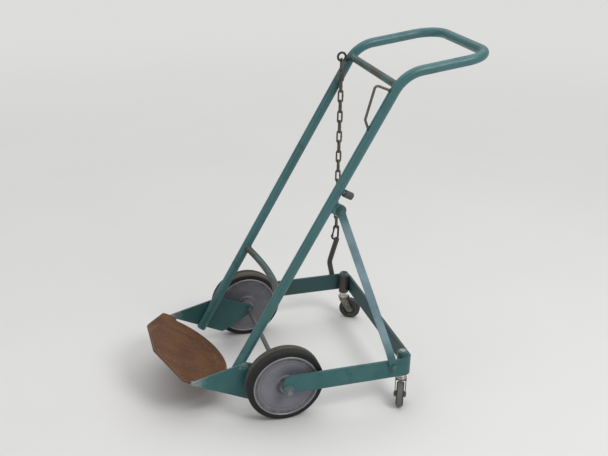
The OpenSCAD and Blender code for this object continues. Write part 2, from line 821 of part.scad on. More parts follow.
module left_caster_tread() caster_tread(LEFT, left_heading);
module right_caster_tread() caster_tread(RIGHT, right_heading);

// Strut between the left rail and the rear frame

// Flat bar with both end tabs bent upright, drawn from its upper bolt down along -Z
module strut() color("#7fa3ad") placed() translate([0, strut_top_y, strut_top_z])
    rotate([strut_slope, 0, 0]) {
    end_r = strut_w / 2;
    inner = [
        [strut_top_x, end_r],
        [strut_top_x, -strut_tab_top],
        [strut_foot_x, -strut_run + strut_tab_foot],
        [strut_foot_x, -strut_run - end_r]
    ];
    outer = [for (i = [3 : -1 : 0]) inner[i] + [strut_t, 0]];
    difference() {
        intersection() {
            translate([0, end_r, 0]) rotate([90, 0, 0])
                linear_extrude(height = strut_w) polygon(concat(inner, outer));
            side_view() round_plate([[0, -strut_run, end_r], [0, 0, end_r]], 2 * arm_out_x);
        }
        for (z = [0, -strut_run])
            translate([0, 0, z]) rotate([0, 90, 0])
                cylinder(r = bolt_r + bolt_fit, h = 2 * arm_out_x);
    }
}

// Ear welded to the back of the left rail
module strut_bracket() color(teal) in_frame() {
    ear_r = 15;
    ear = [
        [0, strut_top_at - ear_r, 0],
        [strut_top_back, strut_top_at, ear_r],
        [0, strut_top_at + ear_r, 0]
    ];
    difference() {
        translate([rail_x - bracket_t / 2, 0, 0]) side_view() round_plate(ear, bracket_t);
        rail_space();
        translate([rail_x, strut_top_back, strut_top_at]) rotate([0, 90, 0])
            cylinder(r = bolt_r + bolt_fit, h = 4 * bracket_t, center = true);
    }
}

// Children drawn along +X from the outer face of each strut tab; $grip is the stack's thickness
module at_strut_bolts() {
    placed() translate([strut_top_x + strut_t + weld_gap, strut_top_y, strut_top_z]) {
        $grip = strut_t + bracket_t + 2 * weld_gap;
        rotate([0, 90, 0]) children();
    }
    placed() translate([strut_foot_x + strut_t + weld_gap, strut_foot_y, strut_foot_z]) {
        $grip = strut_t + bar_t + 2 * weld_gap;
        rotate([0, 90, 0]) children();
    }
}

module strut_bolts() color(zinc) at_strut_bolts() {
    length = $grip + weld_gap + bolt_nut_h + bolt_over;
    cylinder(d = bolt_head_af / cos(30), h = bolt_head_h, $fn = 6);
    translate([0, 0, -length]) cylinder(r = bolt_r, h = length + 1);
}

module strut_nuts() color(zinc) at_strut_bolts()
    translate([0, 0, -$grip - weld_gap - bolt_nut_h])
        hex_nut(bolt_head_af, bolt_nut_h, bolt_r + bolt_fit);

// Rubber stop on the back of the left rail

module stop_stud() color(steel) in_frame() difference() {
    translate([rail_x, 0, stop_at]) rotate([-90, 0, 0])
        cylinder(d = stud_d, h = tube_r + stud_gap + stop_l / 2);
    rail_space();
}

module rubber_stop() color(rubber) in_frame()
    translate([rail_x, tube_r + stud_gap, stop_at]) rotate([-90, 0, 0]) difference() {
        union() {
            cylinder(d = stop_d, h = stop_l - 3);
            cylinder(d = stop_d - 6, h = stop_l);
            translate([0, 0, stop_l - 3]) rotate_extrude() translate([stop_d / 2 - 3, 0]) circle(3);
        }
        translate([0, 0, -1]) cylinder(d = stud_d + 2 * bolt_fit, h = stop_l / 2 + 1 + bolt_fit);
    }

// Retaining chain

// Ring welded by a short neck to the inner front of the right rail
module chain_eye() color(dark_steel) in_frame() difference() {
    union() {
        translate([eye_x, -eye_lead, eye_at]) rotate([0, 90, 0])
            rotate_extrude() translate([eye_r, 0]) circle(eye_wire_r);
        neck_from = [eye_x, -eye_lead + eye_r];
        neck_way = [-rail_x, 0] - neck_from;
        translate([neck_from[0], neck_from[1], eye_at])
            rotate([0, 0, atan2(neck_way[1], neck_way[0])])
                rotate([0, 90, 0]) cylinder(r = eye_wire_r - neck_thin, h = norm(neck_way));
    }
    rail_space();
}

// One oval link in the XZ plane, centred
module chain_link() {
    for (x = [-link_bend_r, link_bend_r])
        translate([x, 0, -link_straight / 2]) cylinder(r = link_wire_r, h = link_straight, $fn = 24);
    for (flip = [0, 180])
        rotate([0, flip, 0]) translate([0, 0, link_straight / 2]) rotate([90, 0, 0])
            rotate_extrude(angle = 180) translate([link_bend_r, 0]) circle(link_wire_r, $fn = 24);
}

// A run of links, each turned a quarter from the one above
module chain_run(run) color(dark_steel)
    for (i = [run_start[run] : run_start[run] + run_links[run] - 1])
        placed() translate([eye_x, eye_y, first_link_z - i * link_pitch])
            rotate([0, 0, i % 2 * 90]) chain_link();

module chain_upper() chain_run(0);
module chain_middle() chain_run(1);
module chain_lower() chain_run(2);

// Snap hook, drawn in the side view with its upper eye's centre at the origin
module on_hook() {
    placed() translate([eye_x, eye_y, hook_top_z]) side_view() children();
}

// Hinge of the gate at the open end of the lower bow, and the nose that the gate closes on
hook_hinge = [hook_eye_r - 2 * hook_bow_r, -hook_l];
hook_nose = [-hook_eye_r, -hook_nose_l];

module snap_hook() color(dark_steel) on_hook() difference() {
    union() {
        rotate_extrude(angle = 180) translate([hook_eye_r, 0]) circle(hook_wire_r, $fn = 32);
        translate([hook_eye_r - hook_bow_r, -hook_l, 0]) rotate([0, 0, 180])
            rotate_extrude(angle = 180) translate([hook_bow_r, 0]) circle(hook_wire_r, $fn = 32);
        translate([hook_eye_r, -hook_l, 0])
            rotate([-90, 0, 0]) cylinder(r = hook_wire_r, h = hook_l, $fn = 32);
        translate([-hook_eye_r, -hook_nose_l, 0])
            rotate([-90, 0, 0]) cylinder(r = hook_wire_r, h = hook_nose_l, $fn = 32);
        translate([hook_hinge[0], hook_hinge[1], -gate_tongue_t / 2])
            cylinder(r = gate_boss_r, h = gate_tongue_t, $fn = 32);
    }
    for (z = [gate_tongue_t / 2, -gate_tongue_t / 2 - 10])
        translate([hook_hinge[0], hook_hinge[1], z])
            cylinder(r = gate_boss_r + gate_play, h = 10, $fn = 32);
    translate([hook_hinge[0], hook_hinge[1], 0])
        cylinder(d = gate_pin_d + 2 * run_fit, h = 20, center = true, $fn = 32);
}

// Sprung gate: two ears round the hinge tongue and a bar up to the hook's nose
module snap_gate() color(dark_steel) on_hook() {
    way = hook_nose - hook_hinge;
    reach = norm(way) - gate_nose_gap;
    ear_z = gate_tongue_t / 2 + gate_play;
    bar_from = gate_boss_r + gate_play;
    translate([hook_hinge[0], hook_hinge[1], 0]) rotate([0, 0, atan2(way[1], way[0])]) difference() {
        union() {
            for (z = [ear_z, -ear_z - gate_ear_t])
                translate([0, 0, z]) {
                    cylinder(r = gate_boss_r, h = gate_ear_t, $fn = 32);
                    translate([0, -gate_r, 0]) cube([2 * gate_boss_r, gate_d, gate_ear_t]);
                }
            translate([bar_from, 0, 0])
                rotate([0, 90, 0]) cylinder(r = gate_r, h = reach - bar_from, $fn = 32);
        }
        cylinder(d = gate_pin_d + 2 * run_fit, h = 20, center = true, $fn = 32);
        translate([0, 0, -ear_z]) cylinder(r = gate_boss_r + gate_play, h = 2 * ear_z, $fn = 32);
    }
}

module snap_pin() color(zinc) on_hook() {
    length = gate_tongue_t + 2 * (gate_play + gate_ear_t) + 1;
    translate([hook_hinge[0], hook_hinge[1], 0])
        cylinder(d = gate_pin_d, h = length, center = true, $fn = 32);
}

// Catch loop for the chain on the front of the left rail

module chain_catch() color(dark_steel) in_frame() difference() {
    loop = [
        [0, catch_top_at],
        [-catch_lead, catch_top_at - 6],
        [-catch_low_lead, catch_top_at - catch_l + 12],
        [0, catch_top_at - catch_l - 14]
    ];
    translate([rail_x, 0, 0]) side_view() bent_bar(loop, catch_bend, catch_wire / 2);
    rail_space();
}

// Bent post on the outer face of the right arm

module stow_post() color(dark_steel) placed() {
    foot_y = strut_foot_y + 4;
    low = [sin(post_lean_low), cos(post_lean_low)];
    up = [sin(post_lean_up), cos(post_lean_up)];
    foot = [foot_y + low[0] / low[1] * bar_h * 0.6, bar_top_z - bar_h * 0.6];
    bend = [foot_y - low[0] / low[1] * post_bend_h, bar_top_z + post_bend_h];
    top = bend + (post_h - post_bend_h) / up[1] * up;
    translate([-arm_out_x - weld_gap - post_d / 2, 0, 0])
        side_view() bent_bar([foot, bend, top], post_bend_r, post_d / 2);
}

frame_tube();
upper_cross_bar();
lower_saddle_bar();
toe_plate();
left_side_plate();
right_side_plate();
main_axle();
axle_nuts();
axle_washers();
axle_spacers();
arm_collars();
left_tyre();
right_tyre();
left_outer_disc();
right_outer_disc();
left_inner_disc();
right_inner_disc();
left_hub();
right_hub();
left_bush();
right_bush();
caster_frame();
left_caster_socket();
right_caster_socket();
left_caster_stem();
right_caster_stem();
stem_nuts();
stem_washers();
left_race_cap();
right_race_cap();
left_swivel_balls();
right_swivel_balls();
left_caster_fork();
right_caster_fork();
left_caster_axle();
right_caster_axle();
left_caster_core();
right_caster_core();
left_caster_tread();
right_caster_tread();
strut();
strut_bracket();
strut_bolts();
strut_nuts();
stop_stud();
rubber_stop();
chain_eye();
chain_upper();
chain_middle();
chain_lower();
snap_hook();
snap_gate();
snap_pin();
chain_catch();
stow_post();
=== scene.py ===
"""Finishes, weld beads, threads, chain and studio for a gas cylinder trolley."""

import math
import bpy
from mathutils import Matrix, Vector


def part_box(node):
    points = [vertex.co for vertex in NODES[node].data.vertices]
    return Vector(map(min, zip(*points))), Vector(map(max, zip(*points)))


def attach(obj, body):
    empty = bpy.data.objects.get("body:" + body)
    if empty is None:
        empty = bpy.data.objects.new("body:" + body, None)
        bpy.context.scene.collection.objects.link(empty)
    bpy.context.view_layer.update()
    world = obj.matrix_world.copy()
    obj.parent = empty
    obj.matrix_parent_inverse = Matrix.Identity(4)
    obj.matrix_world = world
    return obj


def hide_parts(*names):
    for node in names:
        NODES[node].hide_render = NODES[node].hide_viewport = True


bl_info = {
    "name": "Gas cylinder trolley",
    "version": (1, 0, 0),
    "blender": (4, 5, 0),
    "location": "View3D > Sidebar > Trolley",
    "description": "Paints a cylinder trolley and adds its welds, threads and chain links",
    "category": "Object",
}

import bpy
from mathutils import Matrix, Vector

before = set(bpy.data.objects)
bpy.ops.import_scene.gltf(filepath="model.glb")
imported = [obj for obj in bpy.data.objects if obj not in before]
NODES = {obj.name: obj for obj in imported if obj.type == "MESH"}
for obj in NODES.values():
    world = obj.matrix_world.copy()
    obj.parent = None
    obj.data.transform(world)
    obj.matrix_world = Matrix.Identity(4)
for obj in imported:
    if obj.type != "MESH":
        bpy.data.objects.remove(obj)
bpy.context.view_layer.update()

# Places that the finishes and the added pieces share with the model, in metres
LEAN = math.radians(29.2)
AXLE_Z = 0.1016
AXLE_Y = (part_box("main_axle")[0].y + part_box("main_axle")[1].y) / 2
WHEEL_X = (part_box("left_tyre")[0].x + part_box("left_tyre")[1].x) / 2
RAIL_Y = AXLE_Y - 0.127
RAIL_X = 0.165
RAIL_R = 0.0127
BAR_R = 0.0095
SADDLE = 0.034
BEND_R = 0.095
BAR_IN_BEND = 0.0146
ARM_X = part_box("caster_frame")[1].x
ARM_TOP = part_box("caster_frame")[1].z
CYLINDER_SEAT = (0, 0.090, -0.040)
# Heights between which the strut's enamel is paler as a painted highlight, and the width of their soft edges
STRUT_HIGHLIGHT_BAND = (0.172, 0.508)
HIGHLIGHT_EDGE = 0.02
# Across the trolley, in metres: where the enamel's painted shade of the far side begins, and where it is full
SHADED_SIDE_X = (0.25, 0.22)
RAGGED = 0.010

# The left caster's turn in degrees, and the tyre's mould rings in radians per metre of radius
LEFT_CASTER_TURN = 65
MOULD_RINGS = 5200.0

# Strength of bumps, gloss of dull enamel, and the second tones of the finishes
BUMP = 0.55
LOW_GLOSS = 0.22
BLUE_DRIFT = (0.060, 0.145, 0.190)
GREEN_DRIFT = (0.048, 0.150, 0.112)
CHALK = (0.27, 0.33, 0.32)
DISC_SHADE = (0.140, 0.142, 0.162)
DISC_PALE = (0.27, 0.27, 0.29)
# Dark of the discs' soiling and of their painted shade inside the bead and around the hub
DISC_DIRT_AND_SHADE = (0.045, 0.038, 0.032)
# Painted shade in the disc's groove
DISC_GROOVE_SHADE = (0.07, 0.068, 0.075)
RUBBER_PALE = (0.07, 0.068, 0.064)
SCUFFED_CROWN = (0.150, 0.146, 0.132)
FRESH_RUST = (0.190, 0.085, 0.040)
STEEL_GRAIN = (0.12, 0.105, 0.09)
STEEL_RUB = (0.24, 0.22, 0.20)
CORE_PALE = (0.10, 0.10, 0.105)


def in_frame(x, fore, up):
    """A point given across the rails, forward of them and up along them."""
    return Vector((
        x,
        RAIL_Y + up * math.sin(LEAN) - fore * math.cos(LEAN),
        AXLE_Z + up * math.cos(LEAN) + fore * math.sin(LEAN),
    ))


def along(x, fore, up):
    """A direction given in the leaning frame."""
    return in_frame(x, fore, up) - in_frame(0, 0, 0)


# Property groups

def colour(name, text, value):
    return bpy.props.FloatVectorProperty(
        name=name, description=text, default=value, size=3, min=0, max=1, subtype="COLOR")


def factor(name, text, value):
    return bpy.props.FloatProperty(
        name=name, description=text, default=value, min=0, max=1, subtype="FACTOR")


def length(name, text, value):
    return bpy.props.FloatProperty(
        name=name, description=text, default=value, min=0, precision=5, unit="LENGTH")


def angle(name, text, value):
    return bpy.props.FloatProperty(name=name, description=text, default=value, subtype="ANGLE")


class TROLLEY_PG_paint(bpy.types.PropertyGroup):
    teal: colour("Enamel", "Colour of the frame's enamel", (0.034, 0.128, 0.128))
    teal_faded: colour("Faded enamel", "Enamel where it has gone chalky", (0.056, 0.165, 0.168))
    # This tone serves both for grime and for the painted shade on the far side plate
    teal_grime_and_shade: colour("Dirty enamel", "Enamel under old grime", (0.026, 0.052, 0.050))
    # The strut's paler enamel is a painted highlight of light on its inclined face
    strut: colour("Strut enamel", "Paler enamel of the strut", (0.138, 0.218, 0.255))
    bar: colour("Rubbed bar", "Bare patches of the cross bars", (0.072, 0.066, 0.048))
    bare: colour("Bare metal", "Steel where the enamel is rubbed through", (0.150, 0.145, 0.128))
    rub: factor("Edge rub", "How far the edges are rubbed bare", 0.62)


class TROLLEY_PG_wheels(bpy.types.PropertyGroup):
    disc: colour("Disc", "Grey paint of the wheel discs", (0.195, 0.195, 0.224))
    bead: colour("Bead", "Rubbed metal of the rolled bead and hub ring", (0.27, 0.27, 0.285))
    tyre: colour("Tyre", "Black of the tyres", (0.011, 0.011, 0.012))
    dust: colour("Tread dust", "Dust on the treads", (0.108, 0.098, 0.080))
    core: colour("Caster core", "Moulded core of the caster wheels", (0.060, 0.060, 0.064))


class TROLLEY_PG_steel(bpy.types.PropertyGroup):
    plate: colour("Toe plate", "Rust-brown of the toe plate", (0.132, 0.058, 0.025))
    plate_dark: colour("Toe plate shade", "Darkest stains of the toe plate", (0.078, 0.039, 0.022))
    plate_pale: colour("Toe plate rub", "Rubbed steel of the toe plate", (0.250, 0.180, 0.135))
    dark: colour("Dark steel", "Oxidised axle, hook and eye", (0.042, 0.034, 0.028))
    chain: colour("Chain steel", "Worn links and catch wire", (0.135, 0.120, 0.100))
    rust: colour("Rust", "Rust on bare fittings", (0.170, 0.070, 0.028))
    zinc: colour("Zinc", "Plated fasteners", (0.33, 0.33, 0.325))
    bronze: colour("Bronze", "Wheel bushes", (0.36, 0.22, 0.09))


class TROLLEY_PG_weld(bpy.types.PropertyGroup):
    pitch: length("Ripple pitch", "Distance between the ripples of a weld bead", 0.0021)
    width: length("Bead width", "Half width of a weld bead", 0.0026)
    height: length("Bead height", "Half height of a weld bead", 0.0017)


class TROLLEY_PG_chain(bpy.types.PropertyGroup):
    wire: length("Wire", "Wire radius of a link", 0.0025)
    bend: length("Bend", "Centre-line radius of a link's ends", 0.006)
    straight: length("Straight", "Straight part of a link's sides", 0.022)
    seam: factor("Seam", "Swelling of a link at its butt weld", 0.22)


class TROLLEY_PG_stage(bpy.types.PropertyGroup):
    place: bpy.props.FloatVectorProperty(
        name="Camera place", description="Where the camera stands", default=(2.01045, -0.62217, 1.35492),
        size=3, subtype="TRANSLATION", unit="LENGTH")
    yaw: angle("Yaw", "Turn of the camera from -X towards +Y", 0.2983)
    pitch: angle("Pitch", "Look of the camera below level", 0.41492)
    roll: angle("Roll", "Roll of the camera", 0.01727)
    lens: bpy.props.FloatProperty(
        name="Lens", description="Focal length in millimetres", default=50.707, min=10)
    floor: colour("Floor", "Colour of the plain floor", (0.78, 0.77, 0.75))
    backdrop: colour("Backdrop", "Pale colour behind the trolley", (0.72, 0.72, 0.71))


# Shader helpers

def settings(name):
    return getattr(bpy.context.scene, f"trolley_{name}")


def add(tree, kind, ins=None, **attributes):
    """A node with its settings, and its inputs set or linked by name or number."""
    node = tree.nodes.new(kind)
    for key, value in attributes.items():
        setattr(node, key, value)
    for key, value in (ins or {}).items():
        socket = node.inputs[key]
        if isinstance(value, bpy.types.NodeSocket):
            tree.links.new(value, socket)
        elif socket.type == "RGBA" and len(value) == 3:
            socket.default_value = (*value, 1)
        else:
            socket.default_value = value
    return node


def math_node(tree, operation, a, b=0.0, clamp=False):
    return add(tree, "ShaderNodeMath", {0: a, 1: b}, operation=operation, use_clamp=clamp).outputs[0]


def times(tree, a, b, clamp=False):
    return math_node(tree, "MULTIPLY", a, b, clamp)


def plus(tree, a, b):
    return math_node(tree, "ADD", a, b)


def most(tree, a, b):
    return math_node(tree, "MAXIMUM", a, b)


def vector_node(tree, operation, a, b=None):
    """A sum on vectors, which gives a number for a length, a distance or a dot product."""
    ins = {0: a} if b is None else {0: a, 1: b}
    outputs = add(tree, "ShaderNodeVectorMath", ins, operation=operation).outputs
    return outputs["Value" if operation in ("LENGTH", "DISTANCE", "DOT_PRODUCT") else "Vector"]


def parts(tree, vector):
    """X, Y and Z of a vector."""
    return add(tree, "ShaderNodeSeparateXYZ", {0: vector}).outputs


def ramp(tree, value, low, high, to_low=0.0, to_high=1.0):
    ins = {"Value": value, "From Min": low, "From Max": high, "To Min": to_low, "To Max": to_high}
    return add(tree, "ShaderNodeMapRange", ins, interpolation_type="SMOOTHSTEP").outputs["Result"]


def between(tree, value, rise, fall):
    """Mask of a span that comes in over the rise and goes out over the fall."""
    return times(tree, ramp(tree, value, *rise), ramp(tree, value, *fall))


def mix(tree, mask, a, b, share=None):
    """Two colours mixed by a mask, or by a share of it."""
    if share is not None:
        mask = times(tree, mask, share)
    return add(tree, "ShaderNodeMix", {0: mask, 6: a, 7: b}, data_type="RGBA").outputs[2]


def noise(tree, where, scale, detail=3.0, rough=0.55, warp=0.0):
    ins = {"Vector": where, "Scale": scale, "Detail": detail, "Roughness": rough, "Distortion": warp}
    return add(tree, "ShaderNodeTexNoise", ins).outputs["Fac"]


def group(name, inputs, outputs):
    """An empty shader group with named inputs and float outputs; returns it and its two ends."""
    tree = bpy.data.node_groups.new(name, "ShaderNodeTree")
    for key, value in inputs.items():
        kind = "NodeSocketVector" if isinstance(value, tuple) else "NodeSocketFloat"
        socket = tree.interface.new_socket(key, in_out="INPUT", socket_type=kind)
        socket.default_value = value
    for key in outputs:
        tree.interface.new_socket(key, in_out="OUTPUT", socket_type="NodeSocketFloat")
    return tree, tree.nodes.new("NodeGroupInput").outputs, tree.nodes.new("NodeGroupOutput").inputs


def object_place(tree):
    return add(tree, "ShaderNodeTexCoord").outputs["Object"]


def make_edge_rub():
    """Mask of convex edges that hands, cylinders and floors rub bare, broken up by noise."""
    tree, i, o = group("Edge rub", {"Radius": 0.004, "Amount": 0.5, "Break up": 70.0}, ["Rub"])
    bevel = add(tree, "ShaderNodeBevel", {"Radius": i["Radius"]}, samples=6)
    face = add(tree, "ShaderNodeNewGeometry").outputs["Normal"]
    edge = ramp(tree, vector_node(tree, "DOT_PRODUCT", bevel.outputs["Normal"], face), 0.985, 0.80)
    speckle = noise(tree, object_place(tree), i["Break up"], 5.0, 0.62)
    gate = ramp(tree, speckle, math_node(tree, "SUBTRACT", 0.78, i["Amount"]), 0.62)
    tree.links.new(times(tree, edge, gate, True), o["Rub"])
    return tree


def make_mottle():
    """Slow and fine colour drift, and small scuffs."""
    tree, i, o = group("Mottle", {"Scale": 9.0, "Scuff scale": 55.0, "Scuffs": 0.5}, ["Slow", "Fine", "Scuff"])
    where = object_place(tree)
    tree.links.new(ramp(tree, noise(tree, where, i["Scale"], 4.0, 0.6, 0.4), 0.32, 0.70), o["Slow"])
    tree.links.new(noise(tree, where, 420.0, 2.0, 0.5), o["Fine"])
    scuff = noise(tree, where, i["Scuff scale"], 6.0, 0.72, 0.8)
    low = math_node(tree, "SUBTRACT", 0.86, times(tree, i["Scuffs"], 0.30))
    tree.links.new(ramp(tree, scuff, low, plus(tree, low, 0.05)), o["Scuff"])
    return tree


def make_floor_dust():
    """Dust that gathers low down and on faces that look up."""
    tree, i, o = group("Floor dust", {"Height": 0.12, "Amount": 0.5, "On top": 0.3}, ["Dust"])
    where = object_place(tree)
    height = parts(tree, where)["Z"]
    up = parts(tree, add(tree, "ShaderNodeNewGeometry").outputs["Normal"])["Z"]
    low = ramp(tree, height, i["Height"], 0.0)
    top = times(tree, ramp(tree, up, 0.45, 0.95), i["On top"])
    cloud = ramp(tree, noise(tree, where, 24.0, 5.0, 0.65), 0.30, 0.68)
    settled = plus(tree, times(tree, low, i["Amount"]), top)
    tree.links.new(times(tree, settled, cloud, True), o["Dust"])
    return tree


def make_wheel_radius():
    """Distance from the main wheels' axle."""
    tree, i, o = group("Wheel radius", {"Centre": (0.0, AXLE_Y, AXLE_Z)}, ["Radius"])
    away = vector_node(tree, "SUBTRACT", object_place(tree), i["Centre"])
    flat = vector_node(tree, "MULTIPLY", away, (0, 1, 1))
    tree.links.new(vector_node(tree, "LENGTH", flat), o["Radius"])
    return tree


GROUP_MAKERS = {
    "Edge rub": make_edge_rub,
    "Mottle": make_mottle,
    "Floor dust": make_floor_dust,
    "Wheel radius": make_wheel_radius,
}
GROUPS = {}


def use(tree, name, **ins):
    """The named group placed in a material with its own values."""
    if name not in GROUPS:
        GROUPS[name] = GROUP_MAKERS[name]()
    node = tree.nodes.new("ShaderNodeGroup")
    node.node_tree = GROUPS[name]
    for key, value in ins.items():
        node.inputs[key.replace("_", " ")].default_value = value
    return node.outputs


def material(name):
    """A fresh material; returns it, its tree, its Principled shader and the place on the object."""
    mat = bpy.data.materials.new(name)
    mat.use_nodes = True
    tree = mat.node_tree
    return mat, tree, tree.nodes["Principled BSDF"], object_place(tree)


def seen_rays(tree):
    """Mask of rays that show the pale backdrop: the camera's in full, mirrored and refracted ones by half."""
    path = add(tree, "ShaderNodeLightPath").outputs
    mirrored = most(tree, path["Is Glossy Ray"], path["Is Transmission Ray"])
    return most(tree, path["Is Camera Ray"], times(tree, mirrored, 0.5))


def connect(tree, shader, base, rough, metal=None, height=None, depth=0.0, gloss=0.5):
    """Links colour, roughness, metal and a bump as deep as given to the shader, and sets its gloss."""
    shader.inputs["Specular IOR Level"].default_value = gloss
    tree.links.new(base, shader.inputs["Base Color"])
    tree.links.new(rough, shader.inputs["Roughness"])
    if metal is not None:
        tree.links.new(metal, shader.inputs["Metallic"])
    if height is not None:
        bump = add(tree, "ShaderNodeBump", {"Strength": BUMP, "Distance": depth, "Height": height})
        tree.links.new(bump.outputs["Normal"], shader.inputs["Normal"])


# Materials

def enamel(name, base, faded, grime_and_shade_tone, rub=None, scuffs=0.5, dust=0.30, far_side_shade=0.0, tint=0.36, worn=(),
           gloss=0.5, highlight_band=None):
    """Old brushed enamel: faded and grimy drifts, scuffs, rubbed edges, worn spots, floor dust and, where
    asked, a painted shade over the far side.

    Where two heights are given, the paint between them takes its paler tone as a painted highlight, with the
    frame's teal beyond them.
    """
    p = settings("paint")
    w = settings("wheels")
    mat, tree, shader, where = material(name)
    mottle = use(tree, "Mottle", Scale=7.0, Scuff_scale=48.0, Scuffs=scuffs)
    rubbed = use(tree, "Edge rub", Radius=0.0035, Amount=p.rub if rub is None else rub, Break_up=85.0)["Rub"]
    dusty = use(tree, "Floor dust", Height=0.17, Amount=dust, On_top=0.20)["Dust"]
    grime_and_shade = ramp(tree, noise(tree, where, 15.0, 6.0, 0.7, 1.2), 0.50, 0.78)
    tone = mix(tree, mottle["Slow"], base, faded)
    drift = noise(tree, where, 4.5, 3.0, 0.6)
    tone = mix(tree, ramp(tree, drift, 0.52, 0.72, 0.0, tint), tone, BLUE_DRIFT)
    tone = mix(tree, ramp(tree, drift, 0.46, 0.28, 0.0, tint), tone, GREEN_DRIFT)
    across, _, height = parts(tree, where)
    # Painted highlight: between the two heights the paint takes its paler tone, with the frame's teal beyond
    # them
    if highlight_band is not None:
        low, high = highlight_band
        own = between(tree, height, (low - HIGHLIGHT_EDGE, low + HIGHLIGHT_EDGE), (high + HIGHLIGHT_EDGE, high - HIGHLIGHT_EDGE))
        tone = mix(tree, own, p.teal, tone)
    # Painted shade: the enamel is darkened over the far side of the trolley, on everything but the near side
    # plate and near arm, together with the grime
    grime_and_shade = most(tree, grime_and_shade, ramp(tree, across, *SHADED_SIDE_X, 0.0, far_side_shade))
    tone = mix(tree, grime_and_shade, tone, grime_and_shade_tone, 0.75)
    tone = mix(tree, mottle["Fine"], tone, faded, 0.16)
    bare = most(tree, rubbed, mottle["Scuff"])
    tone = mix(tree, bare, tone, p.bare, 0.85)
    for spot, reach in worn:
        away = vector_node(tree, "DISTANCE", where, spot)
        ragged = ramp(tree, noise(tree, where, 150.0, 7.0, 0.75), 0.3, 0.7, -RAGGED, RAGGED)
        tone = mix(tree, ramp(tree, plus(tree, away, ragged), reach, 0.0, 0.0, 0.85), tone, CHALK)
    tone = mix(tree, dusty, tone, w.dust, 0.55)
    rough = plus(tree, ramp(tree, mottle["Slow"], 0.0, 1.0, 0.30, 0.42),
                 times(tree, plus(tree, grime_and_shade, dusty), 0.18))
    relief = math_node(tree, "SUBTRACT", times(tree, noise(tree, where, 240.0, 2.0), 0.35), bare)
    connect(tree, shader, tone, rough, times(tree, bare, 0.7), relief, 0.00022, gloss)
    return mat


def rubbed_bar(name, left):
    """The cross bars: enamel mostly rubbed away by cylinders that lean on them, with some left."""
    p = settings("paint")
    mat, tree, shader, where = material(name)
    stretched = add(tree, "ShaderNodeMapping", {"Vector": where, "Scale": (0.25, 1.0, 1.0)}).outputs[0]
    wear = ramp(tree, noise(tree, stretched, 42.0, 6.0, 0.7, 0.6), left, left + 0.28)
    fine = noise(tree, where, 300.0, 3.0)
    tone = mix(tree, wear, p.teal, p.bar)
    tone = mix(tree, fine, tone, p.bare, 0.15)
    rough = ramp(tree, fine, 0.2, 0.8, 0.38, 0.55)
    connect(tree, shader, tone, rough, times(tree, wear, 0.45), wear, 0.0002)
    return mat


def wheel_disc(name, soiled):
    """Grey painted discs with a bright rolled bead, a rubbed hub ring, painted shade inside the bead, around
    the hub's base and in the groove, and some soiling all over.
    """
    w = settings("wheels")
    s = settings("steel")
    mat, tree, shader, where = material(name)
    radius = use(tree, "Wheel radius")["Radius"]
    mottle = use(tree, "Mottle", Scale=16.0, Scuff_scale=75.0, Scuffs=0.46)
    bead = ramp(tree, radius, 0.0805, 0.0825)
    hub_edge = ramp(tree, radius, 0.0188, 0.0176)
    # Painted shade: a ring that darkens towards the bead, in the crease just inside it
    bead_crease_shade = between(tree, radius, (0.070, 0.0795), (0.083, 0.080))
    # Painted shade: a dark ring around the hub's base
    hub_base_shade = between(tree, radius, (0.0178, 0.0190), (0.030, 0.0225))
    cloud = noise(tree, where, 38.0, 5.0, 0.66)
    # The rings of painted shade, broken up by noise, are joined to the soiling
    grime_and_shade = times(tree, most(tree, bead_crease_shade, hub_base_shade), ramp(tree, cloud, 0.25, 0.62))
    grime_and_shade = most(tree, grime_and_shade, ramp(tree, cloud, 0.30, 0.60, soiled * 0.6, soiled))
    tone = mix(tree, mottle["Slow"], w.disc, DISC_SHADE, 0.5)
    tone = mix(tree, mottle["Fine"], tone, DISC_PALE, 0.18)
    tone = mix(tree, grime_and_shade, tone, DISC_DIRT_AND_SHADE, 0.75)
    bright = times(tree, most(tree, bead, times(tree, hub_edge, 0.45)), ramp(tree, cloud, 0.22, 0.48))
    bright = most(tree, bright, times(tree, mottle["Scuff"], 0.5))
    tone = mix(tree, bright, tone, w.bead)
    groove = between(tree, radius, (0.0655, 0.0675), (0.0705, 0.0685))
    # Besides its bump, the groove's ring is painted darker as shade
    tone = mix(tree, groove, tone, DISC_GROOVE_SHADE, 0.35)
    tone = mix(tree, times(tree, ramp(tree, cloud, 0.60, 0.72), 0.45), tone, s.rust)
    rough = plus(tree, ramp(tree, mottle["Slow"], 0, 1, 0.36, 0.46), times(tree, grime_and_shade, 0.2))
    height = math_node(tree, "SUBTRACT", times(tree, mottle["Fine"], 0.15), groove)
    connect(tree, shader, tone, rough, times(tree, bright, 0.6), height, 0.0009)
    return mat


